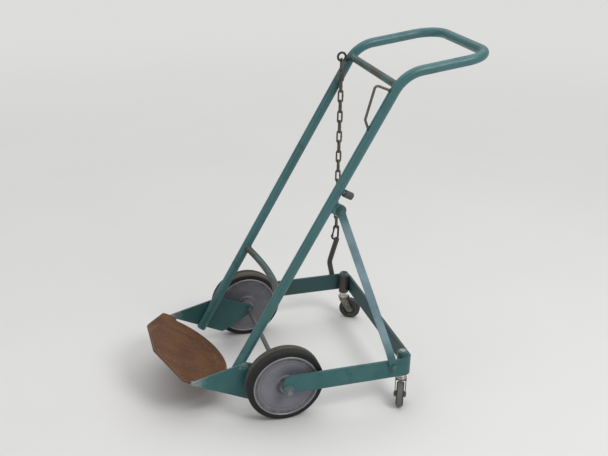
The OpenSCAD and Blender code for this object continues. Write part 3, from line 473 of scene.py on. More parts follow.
def tyre_rubber(name):
    """Solid tyre: black sidewalls with fine mould rings, haze, and a dusty tread that is paler on its inner
    half.
    """
    w = settings("wheels")
    mat, tree, shader, where = material(name)
    radius = use(tree, "Wheel radius")["Radius"]
    cloud = noise(tree, where, 46.0, 6.0, 0.7)
    patch = noise(tree, where, 11.0, 4.0, 0.6)
    across = math_node(tree, "ABSOLUTE", parts(tree, where)["X"])
    tread = times(tree, ramp(tree, radius, 0.0955, 0.1008), ramp(tree, cloud, 0.18, 0.56))
    # The tread is made paler on its inner half than on its outer half
    tread = times(tree, tread, ramp(tree, across, WHEEL_X + 0.007, WHEEL_X - 0.002, 0.15, 1.0))
    haze = times(tree, ramp(tree, patch, 0.36, 0.72), 0.10)
    tone = mix(tree, most(tree, times(tree, tread, 0.80), haze), w.tyre, w.dust)
    rings = math_node(tree, "SINE", times(tree, radius, MOULD_RINGS))
    side = ramp(tree, radius, 0.0945, 0.0935)
    height = plus(tree, times(tree, times(tree, rings, side), 0.3), cloud)
    rough = ramp(tree, cloud, 0.25, 0.75, 0.55, 0.82)
    connect(tree, shader, tone, rough, None, height, 0.0005, gloss=0.32)
    return mat


def plain_rubber(name, base, dust, axle=None):
    """Caster treads and the stop: matte rubber with dust and fine grain, and a scuffed crown across an axle."""
    w = settings("wheels")
    mat, tree, shader, where = material(name)
    grain = noise(tree, where, 520.0, 3.0, 0.6)
    cloud = ramp(tree, noise(tree, where, 60.0, 5.0, 0.68), 0.38, 0.72)
    low = use(tree, "Floor dust", Height=0.05, Amount=dust, On_top=dust * 0.5)["Dust"]
    tone = mix(tree, cloud, base, RUBBER_PALE, 0.14)
    tone = mix(tree, low, tone, w.dust, 0.7)
    if axle is not None:
        centre, way = axle
        sideways = vector_node(tree, "DOT_PRODUCT", vector_node(tree, "SUBTRACT", where, centre), way)
        crown = ramp(tree, math_node(tree, "ABSOLUTE", sideways), 0.0078, 0.0050, 0.0, 0.85)
        tone = mix(tree, crown, tone, SCUFFED_CROWN)
    connect(tree, shader, tone, ramp(tree, grain, 0.25, 0.75, 0.52, 0.72), None, grain, 0.00025)
    return mat


def toe_steel(name):
    """Bare toe plate: rust in several browns, ring scuffs from cylinder feet and rubbed pale edges."""
    s = settings("steel")
    mat, tree, shader, where = material(name)
    blotch = noise(tree, where, 13.0, 8.0, 0.74)
    pits = noise(tree, where, 230.0, 5.0, 0.7)
    rub = use(tree, "Edge rub", Radius=0.007, Amount=0.85, Break_up=60.0)["Rub"]
    mottle = use(tree, "Mottle", Scale=24.0, Scuff_scale=34.0, Scuffs=0.5)
    away = vector_node(tree, "DISTANCE", where, in_frame(*CYLINDER_SEAT))
    foot = between(tree, away, (0.094, 0.101), (0.112, 0.105))
    scuffed = times(tree, foot, ramp(tree, noise(tree, where, 75.0, 6.0, 0.75), 0.44, 0.66))
    tone = mix(tree, ramp(tree, blotch, 0.34, 0.66), s.plate_dark, s.plate)
    tone = mix(tree, mottle["Slow"], tone, FRESH_RUST, 0.45)
    tone = mix(tree, ramp(tree, pits, 0.58, 0.76, 0.0, 0.5), tone, s.plate_dark)
    pale = most(tree, rub, times(tree, mottle["Scuff"], 0.35))
    pale = most(tree, pale, times(tree, scuffed, 0.38))
    tone = mix(tree, pale, tone, s.plate_pale, 0.85)
    metal = plus(tree, 0.06, times(tree, pale, 0.5))
    rough = math_node(tree, "SUBTRACT", ramp(tree, pits, 0.3, 0.7, 0.58, 0.78), times(tree, pale, 0.16))
    connect(tree, shader, tone, rough, metal, pits, 0.0005, gloss=0.25)
    return mat


def dark_steel(name, base, rusty=0.55, ends=None):
    """Oxidised chain, catch, hook and axle, with patches of rust, rubbed high spots, and axle ends in a light
    paint tone that is partly a painted highlight.
    """
    s = settings("steel")
    mat, tree, shader, where = material(name)
    blotch = noise(tree, where, 90.0, 5.0, 0.68, 0.5)
    grain = noise(tree, where, 640.0, 3.0, 0.6)
    rub = use(tree, "Edge rub", Radius=0.0015, Amount=0.6, Break_up=140.0)["Rub"]
    tone = mix(tree, ramp(tree, blotch, 0.52, 0.70, 0.0, rusty), base, s.rust)
    tone = mix(tree, grain, tone, STEEL_GRAIN, 0.22)
    if ends is not None:
        # The axle's ends outside the arms take a light tone: their paint, made light partly as a painted
        # highlight
        across = math_node(tree, "ABSOLUTE", parts(tree, where)["X"])
        tone = mix(tree, ramp(tree, across, ARM_X, ARM_X + 0.001), tone, ends)
    tone = mix(tree, rub, tone, STEEL_RUB, 0.5)
    metal = ramp(tree, blotch, 0.45, 0.66, 0.75, 0.15)
    connect(tree, shader, tone, ramp(tree, grain, 0.25, 0.75, 0.42, 0.66), metal, grain, 0.0003)
    return mat


def plated(name, base, dull):
    """Zinc or bronze fittings: plate gone dull in clouds, with rust starting in places."""
    s = settings("steel")
    mat, tree, shader, where = material(name)
    cloud = noise(tree, where, 130.0, 5.0, 0.68)
    grain = noise(tree, where, 900.0, 2.0, 0.5)
    tone = mix(tree, ramp(tree, cloud, 0.34, 0.66), base, dull)
    tone = mix(tree, ramp(tree, noise(tree, where, 55.0, 6.0, 0.72), 0.60, 0.74, 0.0, 0.6), tone, s.rust)
    metal = ramp(tree, cloud, 0.40, 0.72, 0.92, 0.60)
    connect(tree, shader, tone, ramp(tree, cloud, 0.3, 0.7, 0.30, 0.52), metal, grain, 0.00012)
    return mat


def moulded_core(name):
    """Caster wheel core: dull moulded grey with fine grain and dust."""
    w = settings("wheels")
    mat, tree, shader, where = material(name)
    grain = noise(tree, where, 700.0, 3.0, 0.6)
    low = use(tree, "Floor dust", Height=0.07, Amount=0.6, On_top=0.3)["Dust"]
    tone = mix(tree, grain, w.core, CORE_PALE, 0.35)
    tone = mix(tree, low, tone, w.dust, 0.6)
    connect(tree, shader, tone, ramp(tree, grain, 0.25, 0.75, 0.42, 0.60), None, grain, 0.0002)
    return mat


MADE = {}


def finish(name):
    """The named finish, made once."""
    p = settings("paint")
    s = settings("steel")
    coat = (p.teal, p.teal_faded, p.teal_grime_and_shade)
    makers = {
        "enamel": lambda n: enamel(n, *coat),
        "plate_enamel": lambda n: enamel(n, *coat, rub=0.55, worn=plate_wear(), gloss=LOW_GLOSS),
        # The far side plate: enamel darkened as painted shade
        "far_shaded_enamel": lambda n: enamel(n, *coat, far_side_shade=0.5, worn=plate_wear(), gloss=LOW_GLOSS),
        "weld_enamel": lambda n: enamel(n, *coat, rub=0.4, scuffs=0.74, worn=plate_wear()),
        # The strut: paler, bluer enamel as a painted highlight, teal above and below it
        "strut_highlight_enamel": lambda n: enamel(n, p.strut, (0.29, 0.41, 0.47), (0.08, 0.14, 0.17), scuffs=0.4,
                                         dust=0.2, tint=0.08, gloss=0.3, highlight_band=STRUT_HIGHLIGHT_BAND),
        # The rear frame: enamel darkened as painted shade everywhere but on the near arm, with an extra dark
        # tone
        "rear_shaded_enamel": lambda n: enamel(n, p.teal, p.teal_faded, (0.034, 0.050, 0.052), far_side_shade=0.85,
                                        gloss=LOW_GLOSS),
        "nut_enamel": lambda n: enamel(n, *coat, rub=0.6, scuffs=0.7),
        # Axle nuts and washers: enamel lighter than the frame's, partly rubbed and partly a painted highlight
        "worn_highlit_end_enamel": lambda n: enamel(n, (0.120, 0.180, 0.180), (0.20, 0.25, 0.25), p.teal_grime_and_shade, rub=0.72,
                                       scuffs=0.75),
        "post_enamel": lambda n: enamel(n, (0.040, 0.048, 0.043), (0.060, 0.066, 0.058), (0.030, 0.026, 0.022),
                                        tint=0.0),
        "rusty_enamel": lambda n: enamel(n, (0.048, 0.036, 0.034), (0.070, 0.050, 0.040), s.dark, scuffs=0.6,
                                         tint=0.0),
        "rubbed_bar": lambda n: rubbed_bar(n, 0.34),
        "rubbed_saddle": lambda n: rubbed_bar(n, 0.30),
        "wheel_disc": lambda n: wheel_disc(n, 0.0),
        "inner_disc": lambda n: wheel_disc(n, 0.62),
        "tyre_rubber": tyre_rubber,
        "near_tread": lambda n: plain_rubber(n, (0.030, 0.029, 0.027), 0.5, near_caster_axle()),
        "far_tread": lambda n: plain_rubber(n, (0.030, 0.029, 0.027), 0.6),
        "stop_rubber": lambda n: plain_rubber(n, (0.070, 0.080, 0.070), 0.25),
        "toe_steel": toe_steel,
        "dark_steel": lambda n: dark_steel(n, s.dark),
        "axle_steel": lambda n: dark_steel(n, (0.150, 0.146, 0.140), rusty=0.2, ends=(0.22, 0.25, 0.25)),
        "chain_steel": lambda n: dark_steel(n, s.chain, rusty=0.35),
        "zinc": lambda n: plated(n, s.zinc, (0.30, 0.30, 0.30)),
        "bright_zinc": lambda n: plated(n, (0.78, 0.76, 0.68), (0.60, 0.58, 0.51)),
        "dull_zinc": lambda n: plated(n, (0.26, 0.255, 0.22), (0.13, 0.125, 0.105)),
        "bronze": lambda n: plated(n, s.bronze, (0.20, 0.13, 0.06)),
        "moulded_core": moulded_core,
    }
    if name not in MADE:
        MADE[name] = makers[name](name)
    return MADE[name]


def plate_wear():
    """Worn places of the side plates and how far they reach: the front tips and the welds to the rails."""
    places = []
    for side in ("left", "right"):
        low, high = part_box(f"{side}_side_plate")
        middle = (low.x + high.x) / 2
        for behind, below, reach in ((0.006, 0.039, 0.042), (0.139, 0.004, 0.018)):
            places.append((Vector((middle, low.y + behind, high.z - below)), reach))
    return places


def near_caster_axle():
    """Centre of the left caster's wheel and the direction of its axle."""
    low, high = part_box("left_caster_tread")
    turn = math.radians(LEFT_CASTER_TURN)
    return (low + high) / 2, Vector((math.cos(turn), math.sin(turn), 0))


def dress(name, *nodes):
    """Gives CAD nodes a finish."""
    for key in nodes:
        slots = NODES[key].data.materials
        slots.clear()
        slots.append(finish(name))


def both(*names):
    return [f"{side}_{name}" for name in names for side in ("left", "right")]


# Geometry helpers

def placed(name, data):
    """A new object in the scene."""
    obj = bpy.data.objects.new(name, data)
    bpy.context.scene.collection.objects.link(obj)
    return obj


def geometry_tree(name, inputs):
    """A geometry tree with named inputs after the geometry; returns it, its input sockets and its end."""
    tree = bpy.data.node_groups.new(name, "GeometryNodeTree")
    tree.interface.new_socket("Geometry", in_out="INPUT", socket_type="NodeSocketGeometry")
    for key, value in inputs.items():
        kind = "NodeSocketMaterial" if value is None else "NodeSocketFloat"
        socket = tree.interface.new_socket(key, in_out="INPUT", socket_type=kind)
        if value is not None:
            socket.default_value = value
    tree.interface.new_socket("Geometry", in_out="OUTPUT", socket_type="NodeSocketGeometry")
    return tree, tree.nodes.new("NodeGroupInput").outputs, tree.nodes.new("NodeGroupOutput").inputs[0]


def painted(tree, i, end, copies):
    """Ends a geometry tree: its copies are made real and take the material."""
    real = add(tree, "GeometryNodeRealizeInstances", {0: copies.outputs[0]})
    paint = add(tree, "GeometryNodeSetMaterial", {0: real.outputs[0], "Material": i["Material"]})
    tree.links.new(paint.outputs[0], end)
    return tree


def grown(source, tree, values, name, body):
    """Runs a geometry tree on an object and leaves the result as a plain mesh piece on a body."""
    modifier = source.modifiers.new("grow", "NODES")
    modifier.node_group = tree
    for item in tree.interface.items_tree:
        if item.in_out == "INPUT" and item.name in values:
            modifier[item.identifier] = values[item.name]
    graph = bpy.context.evaluated_depsgraph_get()
    graph.update()
    mesh = bpy.data.meshes.new_from_object(source.evaluated_get(graph))
    if not mesh.polygons:
        raise RuntimeError(f"{name} came out empty")
    source.modifiers.remove(modifier)
    bpy.data.objects.remove(source)
    mesh.name = name
    mesh.shade_smooth()
    piece = placed(name, mesh)
    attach(piece, body)
    return piece


def curve_object(name, lines):
    """A curve object with one poly spline per line of points; a line whose ends meet is closed."""
    data = bpy.data.curves.new(name, "CURVE")
    data.dimensions = "3D"
    for points in lines:
        closed = (points[0] - points[-1]).length < 1e-6
        points = points[:-1] if closed else points
        spline = data.splines.new("POLY")
        spline.points.add(len(points) - 1)
        for place, point in zip(spline.points, points):
            place.co = (*point, 1)
        spline.use_cyclic_u = closed
    return placed(name, data)


def points_object(name, points, **attributes):
    """A mesh of loose points with named attributes, one value per point."""
    data = bpy.data.meshes.new(name)
    data.from_pydata([tuple(p) for p in points], [], [])
    for key, values in attributes.items():
        wide = hasattr(values[0], "__len__")
        layer = data.attributes.new(key, "FLOAT_VECTOR" if wide else "FLOAT", "POINT")
        for item, value in zip(layer.data, values):
            setattr(item, "vector" if wide else "value", value)
    return placed(name, data)


# Weld beads: their lift off a seam, points of a round seam, its start before the rail and its radii
BEAD_LIFT = 0.0006
RING_POINTS = 40
SEAM_RUN = 0.03
STUD_R = 0.005
EYE_R = 0.0027
CATCH_R = 0.00318
SOCKET_R = 0.0152

# Places of the seams up along the rails, and across or forward of them
UPPER_BAR_UP = 0.854
BAR_START_X = 0.12
SADDLE_UP = 0.243
PLATE_UP = (-0.036, 0.050)
PLATE_FORE = 0.0068
PLATE_SLOPE = 0.9
TOE_UP = -0.0394
TOE_FORE = (0.079, 0.098)
BRACKET_UP = (0.508, 0.536)
BRACKET_HALF = 0.0030
BRACKET_FORE = -0.0126
STOP_UP = 0.566
EYE_AT = (-0.142, 0.022, 0.842)
CATCH_LEGS = ((0.052, 0.832, 0.006), (0.031, 0.748, -0.026))

# Seams below the arms' top: the sides of the sockets, and the post's foot behind the axle
SOCKET_SEAM = (0.049, 0.002)
POST_BACK = 0.289
POST_HALF = 0.0065
POST_LOW = 0.028
POST_RUN = Vector((0, -0.0057, 0.027))


def straight(a, b, count=12):
    return [a.lerp(b, k / (count - 1)) for k in range(count)]


def cope_ring(start, way, radius, side, past=0.0):
    """Seam of a round bar that runs into a rail: each line of the bar is followed until it meets the rail.

    A bar that sits past the start of the handle bend meets the bend's tangent there.
    """
    tilt = math.asin(past / BEND_R)
    rail = along(0, -math.sin(tilt), math.cos(tilt))
    axis = start + along(side * RAIL_X - start.x, 0, 0) if past else in_frame(side * RAIL_X, 0, 0)
    way = way.normalized()
    first = way.cross(rail).normalized()
    second = way.cross(first)
    ring = []
    for k in range(RING_POINTS + 1):
        turn = 2 * math.pi * k / RING_POINTS
        point = start + (radius + BEAD_LIFT) * (math.cos(turn) * first + math.sin(turn) * second) - axis
        flat = point - rail * point.dot(rail)
        step = way - rail * way.dot(rail)
        a, b, c = step.dot(step), flat.dot(step), flat.dot(flat) - (RAIL_R + BEAD_LIFT) ** 2
        reach = (-b - math.sqrt(max(b * b - a * c, 0.0))) / a
        ring.append(point + way * reach + axis)
    ring[-1] = ring[0].copy()
    return ring


def beside_socket(middle, side, degrees, out, height):
    """A point at a caster socket's seam or out from it, turned from the trolley's side towards its rear."""
    turn, radius = math.radians(degrees), SOCKET_R + out
    return Vector((middle.x + side * radius * math.cos(turn), middle.y + radius * math.sin(turn), height))


def weld_lines():
    """All seams of the frame as lines of points."""
    lines = []
    bow_r = (RAIL_X ** 2 + SADDLE ** 2) / (2 * SADDLE)
    tilt = math.asin(RAIL_X / bow_r)
    for side in (1, -1):
        bar_fore = math.sqrt(BEND_R ** 2 - BAR_IN_BEND ** 2) - BEND_R
        bar_end = in_frame(side * BAR_START_X, bar_fore, UPPER_BAR_UP)
        lines.append(cope_ring(bar_end, Vector((side, 0, 0)), BAR_R, side, past=BAR_IN_BEND))
        bow_way = along(side * math.cos(tilt), math.sin(tilt), 0)
        bow_end = in_frame(side * RAIL_X, 0, SADDLE_UP) - bow_way * SEAM_RUN
        lines.append(cope_ring(bow_end, bow_way, BAR_R, side))
        x = side * (RAIL_X + RAIL_R - 2 * BEAD_LIFT)
        for fore in (PLATE_FORE, -PLATE_FORE):
            top = PLATE_UP[1] - PLATE_SLOPE * fore
            lines.append(straight(in_frame(x, fore, PLATE_UP[0]), in_frame(x, fore, top), 24))
        x = side * (RAIL_X + RAIL_R - BEAD_LIFT)
        lines.append(straight(*(in_frame(x, fore, TOE_UP) for fore in TOE_FORE)))
        low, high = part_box("left_caster_socket" if side > 0 else "right_caster_socket")
        middle = (low + high) / 2
        lines.append([beside_socket(middle, side, turn, 0.0, ARM_TOP + 0.0002) for turn in range(-10, 101, 5)])
        for turn in (-4, 94):
            ends = (beside_socket(middle, side, turn, BEAD_LIFT, ARM_TOP - below) for below in SOCKET_SEAM)
            lines.append(straight(*ends, 20))
    for x in (RAIL_X - BRACKET_HALF, RAIL_X + BRACKET_HALF):
        lines.append(straight(*(in_frame(x, BRACKET_FORE, up) for up in BRACKET_UP)))
    lines.append(cope_ring(in_frame(RAIL_X, -SEAM_RUN, STOP_UP), along(0, 1, 0), STUD_R, 1))
    return lines


def steel_weld_lines():
    """Seams of the dark steel fittings: the eye's neck, the catch's two legs and the post's foot."""
    neck = along(-RAIL_X - EYE_AT[0], -EYE_AT[1], 0)
    lines = [cope_ring(in_frame(*EYE_AT), neck, EYE_R, -1)]
    for fore, up, rise in CATCH_LEGS:
        lines.append(cope_ring(in_frame(RAIL_X, fore, up), along(0, -fore, rise), CATCH_R, 1))
    for shift in (-POST_HALF, POST_HALF):
        foot = Vector((-ARM_X - 2 * BEAD_LIFT, AXLE_Y + POST_BACK + shift, ARM_TOP - POST_LOW))
        lines.append(straight(foot, foot + POST_RUN, 14))
    return lines


def weld_tree():
    """Ripples of a weld bead, laid along a path."""
    tree, i, end = geometry_tree("Weld bead", {
        "Pitch": 0.002, "Width": 0.0026, "Height": 0.0017, "Material": None})
    resample = add(tree, "GeometryNodeResampleCurve", {
        "Curve": i["Geometry"], "Length": i["Pitch"]}, mode="LENGTH")
    ball = add(tree, "GeometryNodeMeshUVSphere", {"Segments": 9, "Rings": 6, "Radius": 1.0})
    tangent = add(tree, "GeometryNodeInputTangent")
    turn = add(tree, "FunctionNodeAlignRotationToVector", {"Vector": tangent.outputs[0]}, axis="Z")
    jitter = add(tree, "FunctionNodeRandomValue", {2: 0.82, 3: 1.16, "Seed": 7}, data_type="FLOAT")
    size = add(tree, "ShaderNodeCombineXYZ", {0: i["Width"], 1: i["Height"], 2: i["Pitch"]})
    scale = add(tree, "ShaderNodeVectorMath", {
        0: size.outputs[0], "Scale": jitter.outputs[1]}, operation="SCALE")
    place = add(tree, "GeometryNodeInstanceOnPoints", {
        "Points": resample.outputs[0], "Instance": ball.outputs["Mesh"],
        "Rotation": turn.outputs[0], "Scale": scale.outputs[0]})
    return painted(tree, i, end, place)


# Threads: the size across, across and along, and the start below the end
AXLE_THREAD = (0.0062, 0.0062, 0.0034)
AXLE_START = 0.0040
STEM_THREAD = (0.0078, 0.0078, 0.0016)
STEM_START = 0.0020


def circle(tree, points, radius):
    return add(tree, "GeometryNodeCurvePrimitiveCircle", {
        "Resolution": points, "Radius": radius}, mode="RADIUS").outputs["Curve"]


def attribute(tree, name, kind):
    return add(tree, "GeometryNodeInputNamedAttribute", {"Name": name}, data_type=kind).outputs[0]


def thread_tree():
    """Screw thread on each point, along its axis, as long and as wide as the point says."""
    tree, i, end = geometry_tree("Screw thread", {"Turns": 3.0, "Ridge": 0.07, "Material": None})
    spiral = add(tree, "GeometryNodeCurveSpiral", {
        "Resolution": 24, "Rotations": i["Turns"], "Start Radius": 1.0, "End Radius": 1.0, "Height": 1.0})
    coil = add(tree, "GeometryNodeCurveToMesh", {
        "Curve": spiral.outputs[0], "Profile Curve": circle(tree, 4, i["Ridge"]), "Fill Caps": True})
    axis = attribute(tree, "axis", "FLOAT_VECTOR")
    turn = add(tree, "FunctionNodeAlignRotationToVector", {"Vector": axis}, axis="Z")
    size = attribute(tree, "size", "FLOAT_VECTOR")
    cloud = add(tree, "GeometryNodeMeshToPoints", {0: i["Geometry"]})
    place = add(tree, "GeometryNodeInstanceOnPoints", {
        "Points": cloud.outputs[0], "Instance": coil.outputs[0],
        "Rotation": turn.outputs[0], "Scale": size})
    return painted(tree, i, end, place)


# Chain links: the base of the seam's bell curve and its sharpness, and a link's sway in radians
EULER = 2.718
SEAM_SHARPNESS = 480.0
SWAY = 0.05


def link_tree():
    """An oval link with its butt-weld seam on each point, a quarter turn from its neighbours."""
    tree, i, end = geometry_tree("Chain link", {
        "Wire": 0.0025, "Bend": 0.006, "Straight": 0.022, "Seam": 0.2, "Material": None})
    ring = circle(tree, 40, i["Bend"])
    x, y, _ = parts(tree, add(tree, "GeometryNodeInputPosition").outputs[0])
    half = times(tree, times(tree, math_node(tree, "SIGN", y), i["Straight"]), 0.5)
    shift = add(tree, "ShaderNodeCombineXYZ", {1: half})
    oval = add(tree, "GeometryNodeSetPosition", {0: ring, "Offset": shift.outputs[0]})
    dense = add(tree, "GeometryNodeResampleCurve", {"Curve": oval.outputs[0], "Count": 72})
    far = times(tree, y, SEAM_SHARPNESS)
    swell = math_node(tree, "POWER", EULER, times(tree, times(tree, far, far), -1.0))
    swell = times(tree, times(tree, swell, math_node(tree, "GREATER_THAN", x, 0.0)), i["Seam"])
    sized = add(tree, "GeometryNodeSetCurveRadius", {0: dense.outputs[0], "Radius": plus(tree, swell, 1.0)})
    radius = add(tree, "GeometryNodeInputRadius")
    wire = add(tree, "GeometryNodeCurveToMesh", {
        "Curve": sized.outputs[0], "Profile Curve": circle(tree, 12, i["Wire"]), "Scale": radius.outputs[0]})
    stand = add(tree, "GeometryNodeTransform", {0: wire.outputs[0], "Rotation": (math.pi / 2, 0, 0)})
    sway = add(tree, "FunctionNodeRandomValue", {2: -SWAY, 3: SWAY, "Seed": 3}, data_type="FLOAT")
    turn = plus(tree, attribute(tree, "turn", "FLOAT"), sway.outputs[1])
    about_z = add(tree, "ShaderNodeCombineXYZ", {2: turn})
    cloud = add(tree, "GeometryNodeMeshToPoints", {0: i["Geometry"]})
    link = add(tree, "GeometryNodeInstanceOnPoints", {
        "Points": cloud.outputs[0], "Instance": stand.outputs[0], "Rotation": about_z.outputs[0]})
    return painted(tree, i, end, link)


# Operators

class TROLLEY_OT_paint_frame(bpy.types.Operator):
    """Paint the tube frame, plates, rear frame and strut"""

    bl_idname = "trolley.paint_frame"
    bl_label = "Paint frame"

    def execute(self, context):
        dress("enamel", "frame_tube", "strut_bracket", "left_caster_socket")
        dress("plate_enamel", "left_side_plate")
        # The far side plate and the rear frame carry painted shade
        dress("far_shaded_enamel", "right_side_plate")
        dress("rear_shaded_enamel", "caster_frame")
        dress("rusty_enamel", "right_caster_socket")
        dress("rubbed_bar", "upper_cross_bar")
        dress("rubbed_saddle", "lower_saddle_bar")
        dress("strut_highlight_enamel", "strut")
        dress("nut_enamel", "stem_nuts", "stem_washers", "strut_bolts", "strut_nuts")
        dress("worn_highlit_end_enamel", "axle_nuts", "axle_washers")
        dress("post_enamel", "stow_post")
        return {"FINISHED"}


class TROLLEY_OT_finish_wheels(bpy.types.Operator):
    """Finish the main wheels and the casters"""

    bl_idname = "trolley.finish_wheels"
    bl_label = "Finish wheels"

    def execute(self, context):
        dress("wheel_disc", *both("outer_disc", "hub"))
        dress("inner_disc", *both("inner_disc"))
        dress("tyre_rubber", *both("tyre"))
        dress("bronze", *both("bush"))
        dress("near_tread", "left_caster_tread")
        dress("far_tread", "right_caster_tread")
        dress("moulded_core", *both("caster_core"))
        dress("zinc", "left_caster_stem", *both("swivel_balls"))
        dress("bright_zinc", *both("race_cap"))
        dress("dull_zinc", *both("caster_fork", "caster_axle"))
        dress("dark_steel", "right_caster_stem")
        return {"FINISHED"}


class TROLLEY_OT_finish_steel(bpy.types.Operator):
    """Finish the toe plate, the axle, the fasteners and the dark fittings"""

    bl_idname = "trolley.finish_steel"
    bl_label = "Finish steel"

    def execute(self, context):
        dress("toe_steel", "toe_plate")
        dress("zinc", "axle_spacers", "arm_collars", "stop_stud", "snap_pin")
        dress("axle_steel", "main_axle")
        dress("dark_steel", "chain_eye", "snap_hook", "snap_gate")
        dress("chain_steel", "chain_catch", "chain_upper", "chain_middle", "chain_lower")
        dress("stop_rubber", "rubber_stop")
        return {"FINISHED"}


class TROLLEY_OT_weld_beads(bpy.types.Operator):
    """Lay weld beads along the seams of the frame and of the dark fittings"""

    bl_idname = "trolley.weld_beads"
    bl_label = "Weld beads"

    def execute(self, context):
        p = context.scene.trolley_weld
        tree = weld_tree()
        values = {"Pitch": p.pitch, "Width": p.width, "Height": p.height, "Material": finish("weld_enamel")}
        seams = curve_object("frame_seams", weld_lines())
        grown(seams, tree, values, "frame_welds", "frame")
        values = {"Pitch": p.pitch * 0.8, "Width": p.width * 0.62, "Height": p.height * 0.7,
                  "Material": finish("dark_steel")}
        seams = curve_object("steel_seams", steel_weld_lines())
        grown(seams, tree, values, "fitting_welds", "frame")
        return {"FINISHED"}


class TROLLEY_OT_threads(bpy.types.Operator):
    """Cut threads on the ends of the axle and of the caster stems"""

    bl_idname = "trolley.threads"
    bl_label = "Threads"

    def execute(self, context):
        ends = []
        low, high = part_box("main_axle")
        for way, tip in ((1, high.x), (-1, low.x)):
            ends.append((Vector((tip - way * AXLE_START, AXLE_Y, AXLE_Z)), (way, 0, 0), AXLE_THREAD))
        for side in ("left", "right"):
            low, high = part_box(f"{side}_caster_stem")
            x, y = (low.x + high.x) / 2, (low.y + high.y) / 2
            ends.append((Vector((x, y, high.z - STEM_START)), (0, 0, 1), STEM_THREAD))
        places, axes, sizes = zip(*ends)
        source = points_object("thread_places", places, axis=axes, size=sizes)
        values = {"Turns": 3.0, "Ridge": 0.06, "Material": finish("zinc")}
        grown(source, thread_tree(), values, "end_threads", "frame")
        return {"FINISHED"}


class TROLLEY_OT_chain(bpy.types.Operator):
    """Link the retaining chain, run by run"""

    bl_idname = "trolley.chain"
    bl_label = "Chain"

    def execute(self, context):
        p = context.scene.trolley_chain
        tree = link_tree()
        values = {"Wire": p.wire, "Bend": p.bend, "Straight": p.straight, "Seam": p.seam,
                  "Material": finish("chain_steel")}
        half = p.straight / 2 + p.bend + p.wire
        first = 0
        for run, count in (("upper", 5), ("middle", 6), ("lower", 6)):
            low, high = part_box(f"chain_{run}")
            x, y = (low.x + high.x) / 2, (low.y + high.y) / 2
            pitch = (high.z - low.z - 2 * half) / (count - 1)
            spots = [Vector((x, y, high.z - half - k * pitch)) for k in range(count)]
            turns = [(first + k) % 2 * math.pi / 2 for k in range(count)]
            source = points_object(f"{run}_link_places", spots, turn=turns)
            piece = grown(source, tree, values, f"{run}_links", f"{run}_chain")
            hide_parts(f"chain_{run}")
            first += count
        return {"FINISHED"}


# Half the floor's side, and the distances over which it fades into the backdrop, in metres
FLOOR_HALF = 30
FLOOR_FADE = (1.3, 5.0)


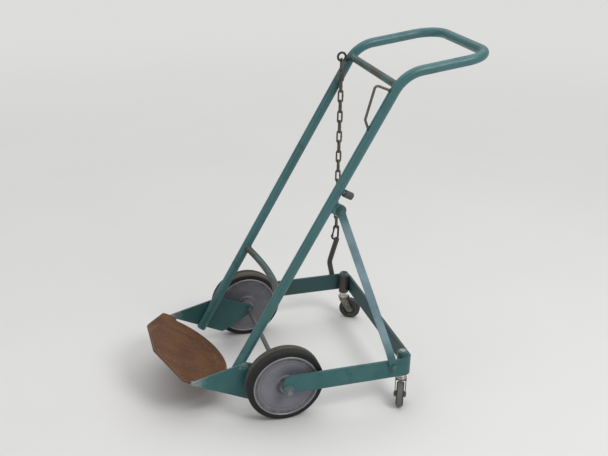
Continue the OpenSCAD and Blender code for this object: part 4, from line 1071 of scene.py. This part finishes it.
class TROLLEY_OT_stage(bpy.types.Operator):
    """Set the floor, the lamps, the world and the camera"""

    bl_idname = "trolley.stage"
    bl_label = "Stage"

    def execute(self, context):
        p = context.scene.trolley_stage
        scene = context.scene
        scene.view_settings.view_transform = "Standard"
        self.floor(p)
        self.lamps()
        self.world(scene, p)
        self.camera(scene, p)
        return {"FINISHED"}

    def floor(self, p):
        data = bpy.data.meshes.new("studio_floor")
        corners = [(x * FLOOR_HALF, y * FLOOR_HALF, 0) for x, y in ((-1, -1), (1, -1), (1, 1), (-1, 1))]
        data.from_pydata(corners, [], [(0, 1, 2, 3)])
        obj = placed("studio_floor", data)
        mat, tree, shader, where = material("studio_floor")
        cloud = noise(tree, where, 1.3, 5.0, 0.6)
        tone = mix(tree, cloud, p.floor, tuple(c * 0.93 for c in p.floor))
        connect(tree, shader, tone, ramp(tree, cloud, 0.3, 0.7, 0.75, 0.85))
        away = vector_node(tree, "LENGTH", where)
        fade = times(tree, seen_rays(tree), ramp(tree, away, *FLOOR_FADE))
        plain = add(tree, "ShaderNodeEmission", {"Color": p.backdrop})
        blend = add(tree, "ShaderNodeMixShader", {0: fade, 1: shader.outputs[0], 2: plain.outputs[0]})
        tree.links.new(blend.outputs[0], tree.nodes["Material Output"].inputs["Surface"])
        data.materials.append(mat)

    def lamps(self):
        for name, place, aim, size, watts in (
            ("key", (2.1, 1.3, 2.9), (0, 0, 0.4), 1.6, 52),
            ("fill", (1.2, -3.0, 1.8), (0, 0, 0.3), 2.6, 14),
            ("panel", (-6.0, 1.5, 10.0), (-6.0, 1.5, 0), 18.0, 950),
        ):
            data = bpy.data.lights.new(name, "AREA")
            data.shape = "DISK"
            data.size = size
            data.energy = watts
            obj = placed(name, data)
            obj.location = place
            obj.rotation_euler = (Vector(aim) - Vector(place)).to_track_quat("-Z", "Y").to_euler()

    def world(self, scene, p):
        world = bpy.data.worlds.new("studio")
        world.use_nodes = True
        tree = world.node_tree
        light = tree.nodes["Background"]
        light.inputs["Color"].default_value = (0.93, 0.96, 1.0, 1)
        light.inputs["Strength"].default_value = 0.30
        seen = add(tree, "ShaderNodeBackground", {"Color": p.backdrop, "Strength": 1.0})
        blend = add(tree, "ShaderNodeMixShader", {
            0: seen_rays(tree), 1: light.outputs[0], 2: seen.outputs[0]})
        tree.links.new(blend.outputs[0], tree.nodes["World Output"].inputs["Surface"])
        scene.world = world

    def camera(self, scene, p):
        data = bpy.data.cameras.new("photo_camera")
        data.sensor_fit = "HORIZONTAL"
        data.sensor_width = 36
        data.lens = p.lens
        data.clip_end = 100
        level = Vector((-math.cos(p.yaw), math.sin(p.yaw), 0))
        ahead = level * math.cos(p.pitch) - Vector((0, 0, math.sin(p.pitch)))
        right = ahead.cross(Vector((0, 0, 1))).normalized()
        up = right.cross(ahead)
        c, s = math.cos(p.roll), math.sin(p.roll)
        axes = (c * right + s * up, c * up - s * right, -ahead)
        turn = Matrix(axes).transposed().to_4x4()
        obj = placed("photo_camera", data)
        obj.matrix_world = Matrix.Translation(Vector(p.place)) @ turn
        scene.camera = obj


class TROLLEY_PT_panel(bpy.types.Panel):
    """Buttons for the trolley's pieces and finishes"""

    bl_idname = "TROLLEY_PT_panel"
    bl_label = "Cylinder trolley"
    bl_space_type = "VIEW_3D"
    bl_region_type = "UI"
    bl_category = "Trolley"

    def draw(self, context):
        for operator in OPERATORS:
            self.layout.operator(operator.bl_idname)
        for name in GROUP_NAMES:
            box = self.layout.box()
            values = getattr(context.scene, name)
            for key in values.__annotations__:
                box.prop(values, key)


OPERATORS = (
    TROLLEY_OT_stage,
    TROLLEY_OT_paint_frame,
    TROLLEY_OT_finish_wheels,
    TROLLEY_OT_finish_steel,
    TROLLEY_OT_weld_beads,
    TROLLEY_OT_threads,
    TROLLEY_OT_chain,
)
GROUP_NAMES = {
    "trolley_paint": TROLLEY_PG_paint,
    "trolley_wheels": TROLLEY_PG_wheels,
    "trolley_steel": TROLLEY_PG_steel,
    "trolley_weld": TROLLEY_PG_weld,
    "trolley_chain": TROLLEY_PG_chain,
    "trolley_stage": TROLLEY_PG_stage,
}


def register():
    for name, kind in GROUP_NAMES.items():
        bpy.utils.register_class(kind)
        setattr(bpy.types.Scene, name, bpy.props.PointerProperty(type=kind))
    for kind in (*OPERATORS, TROLLEY_PT_panel):
        bpy.utils.register_class(kind)


def unregister():
    for kind in reversed((*OPERATORS, TROLLEY_PT_panel)):
        bpy.utils.unregister_class(kind)
    for name, kind in reversed(GROUP_NAMES.items()):
        delattr(bpy.types.Scene, name)
        bpy.utils.unregister_class(kind)


def main():
    register()
    bpy.ops.trolley.stage()
    bpy.ops.trolley.paint_frame()
    bpy.ops.trolley.finish_wheels()
    bpy.ops.trolley.finish_steel()
    bpy.ops.trolley.weld_beads()
    bpy.ops.trolley.threads()
    bpy.ops.trolley.chain()


if __name__ == "__main__":
    main()
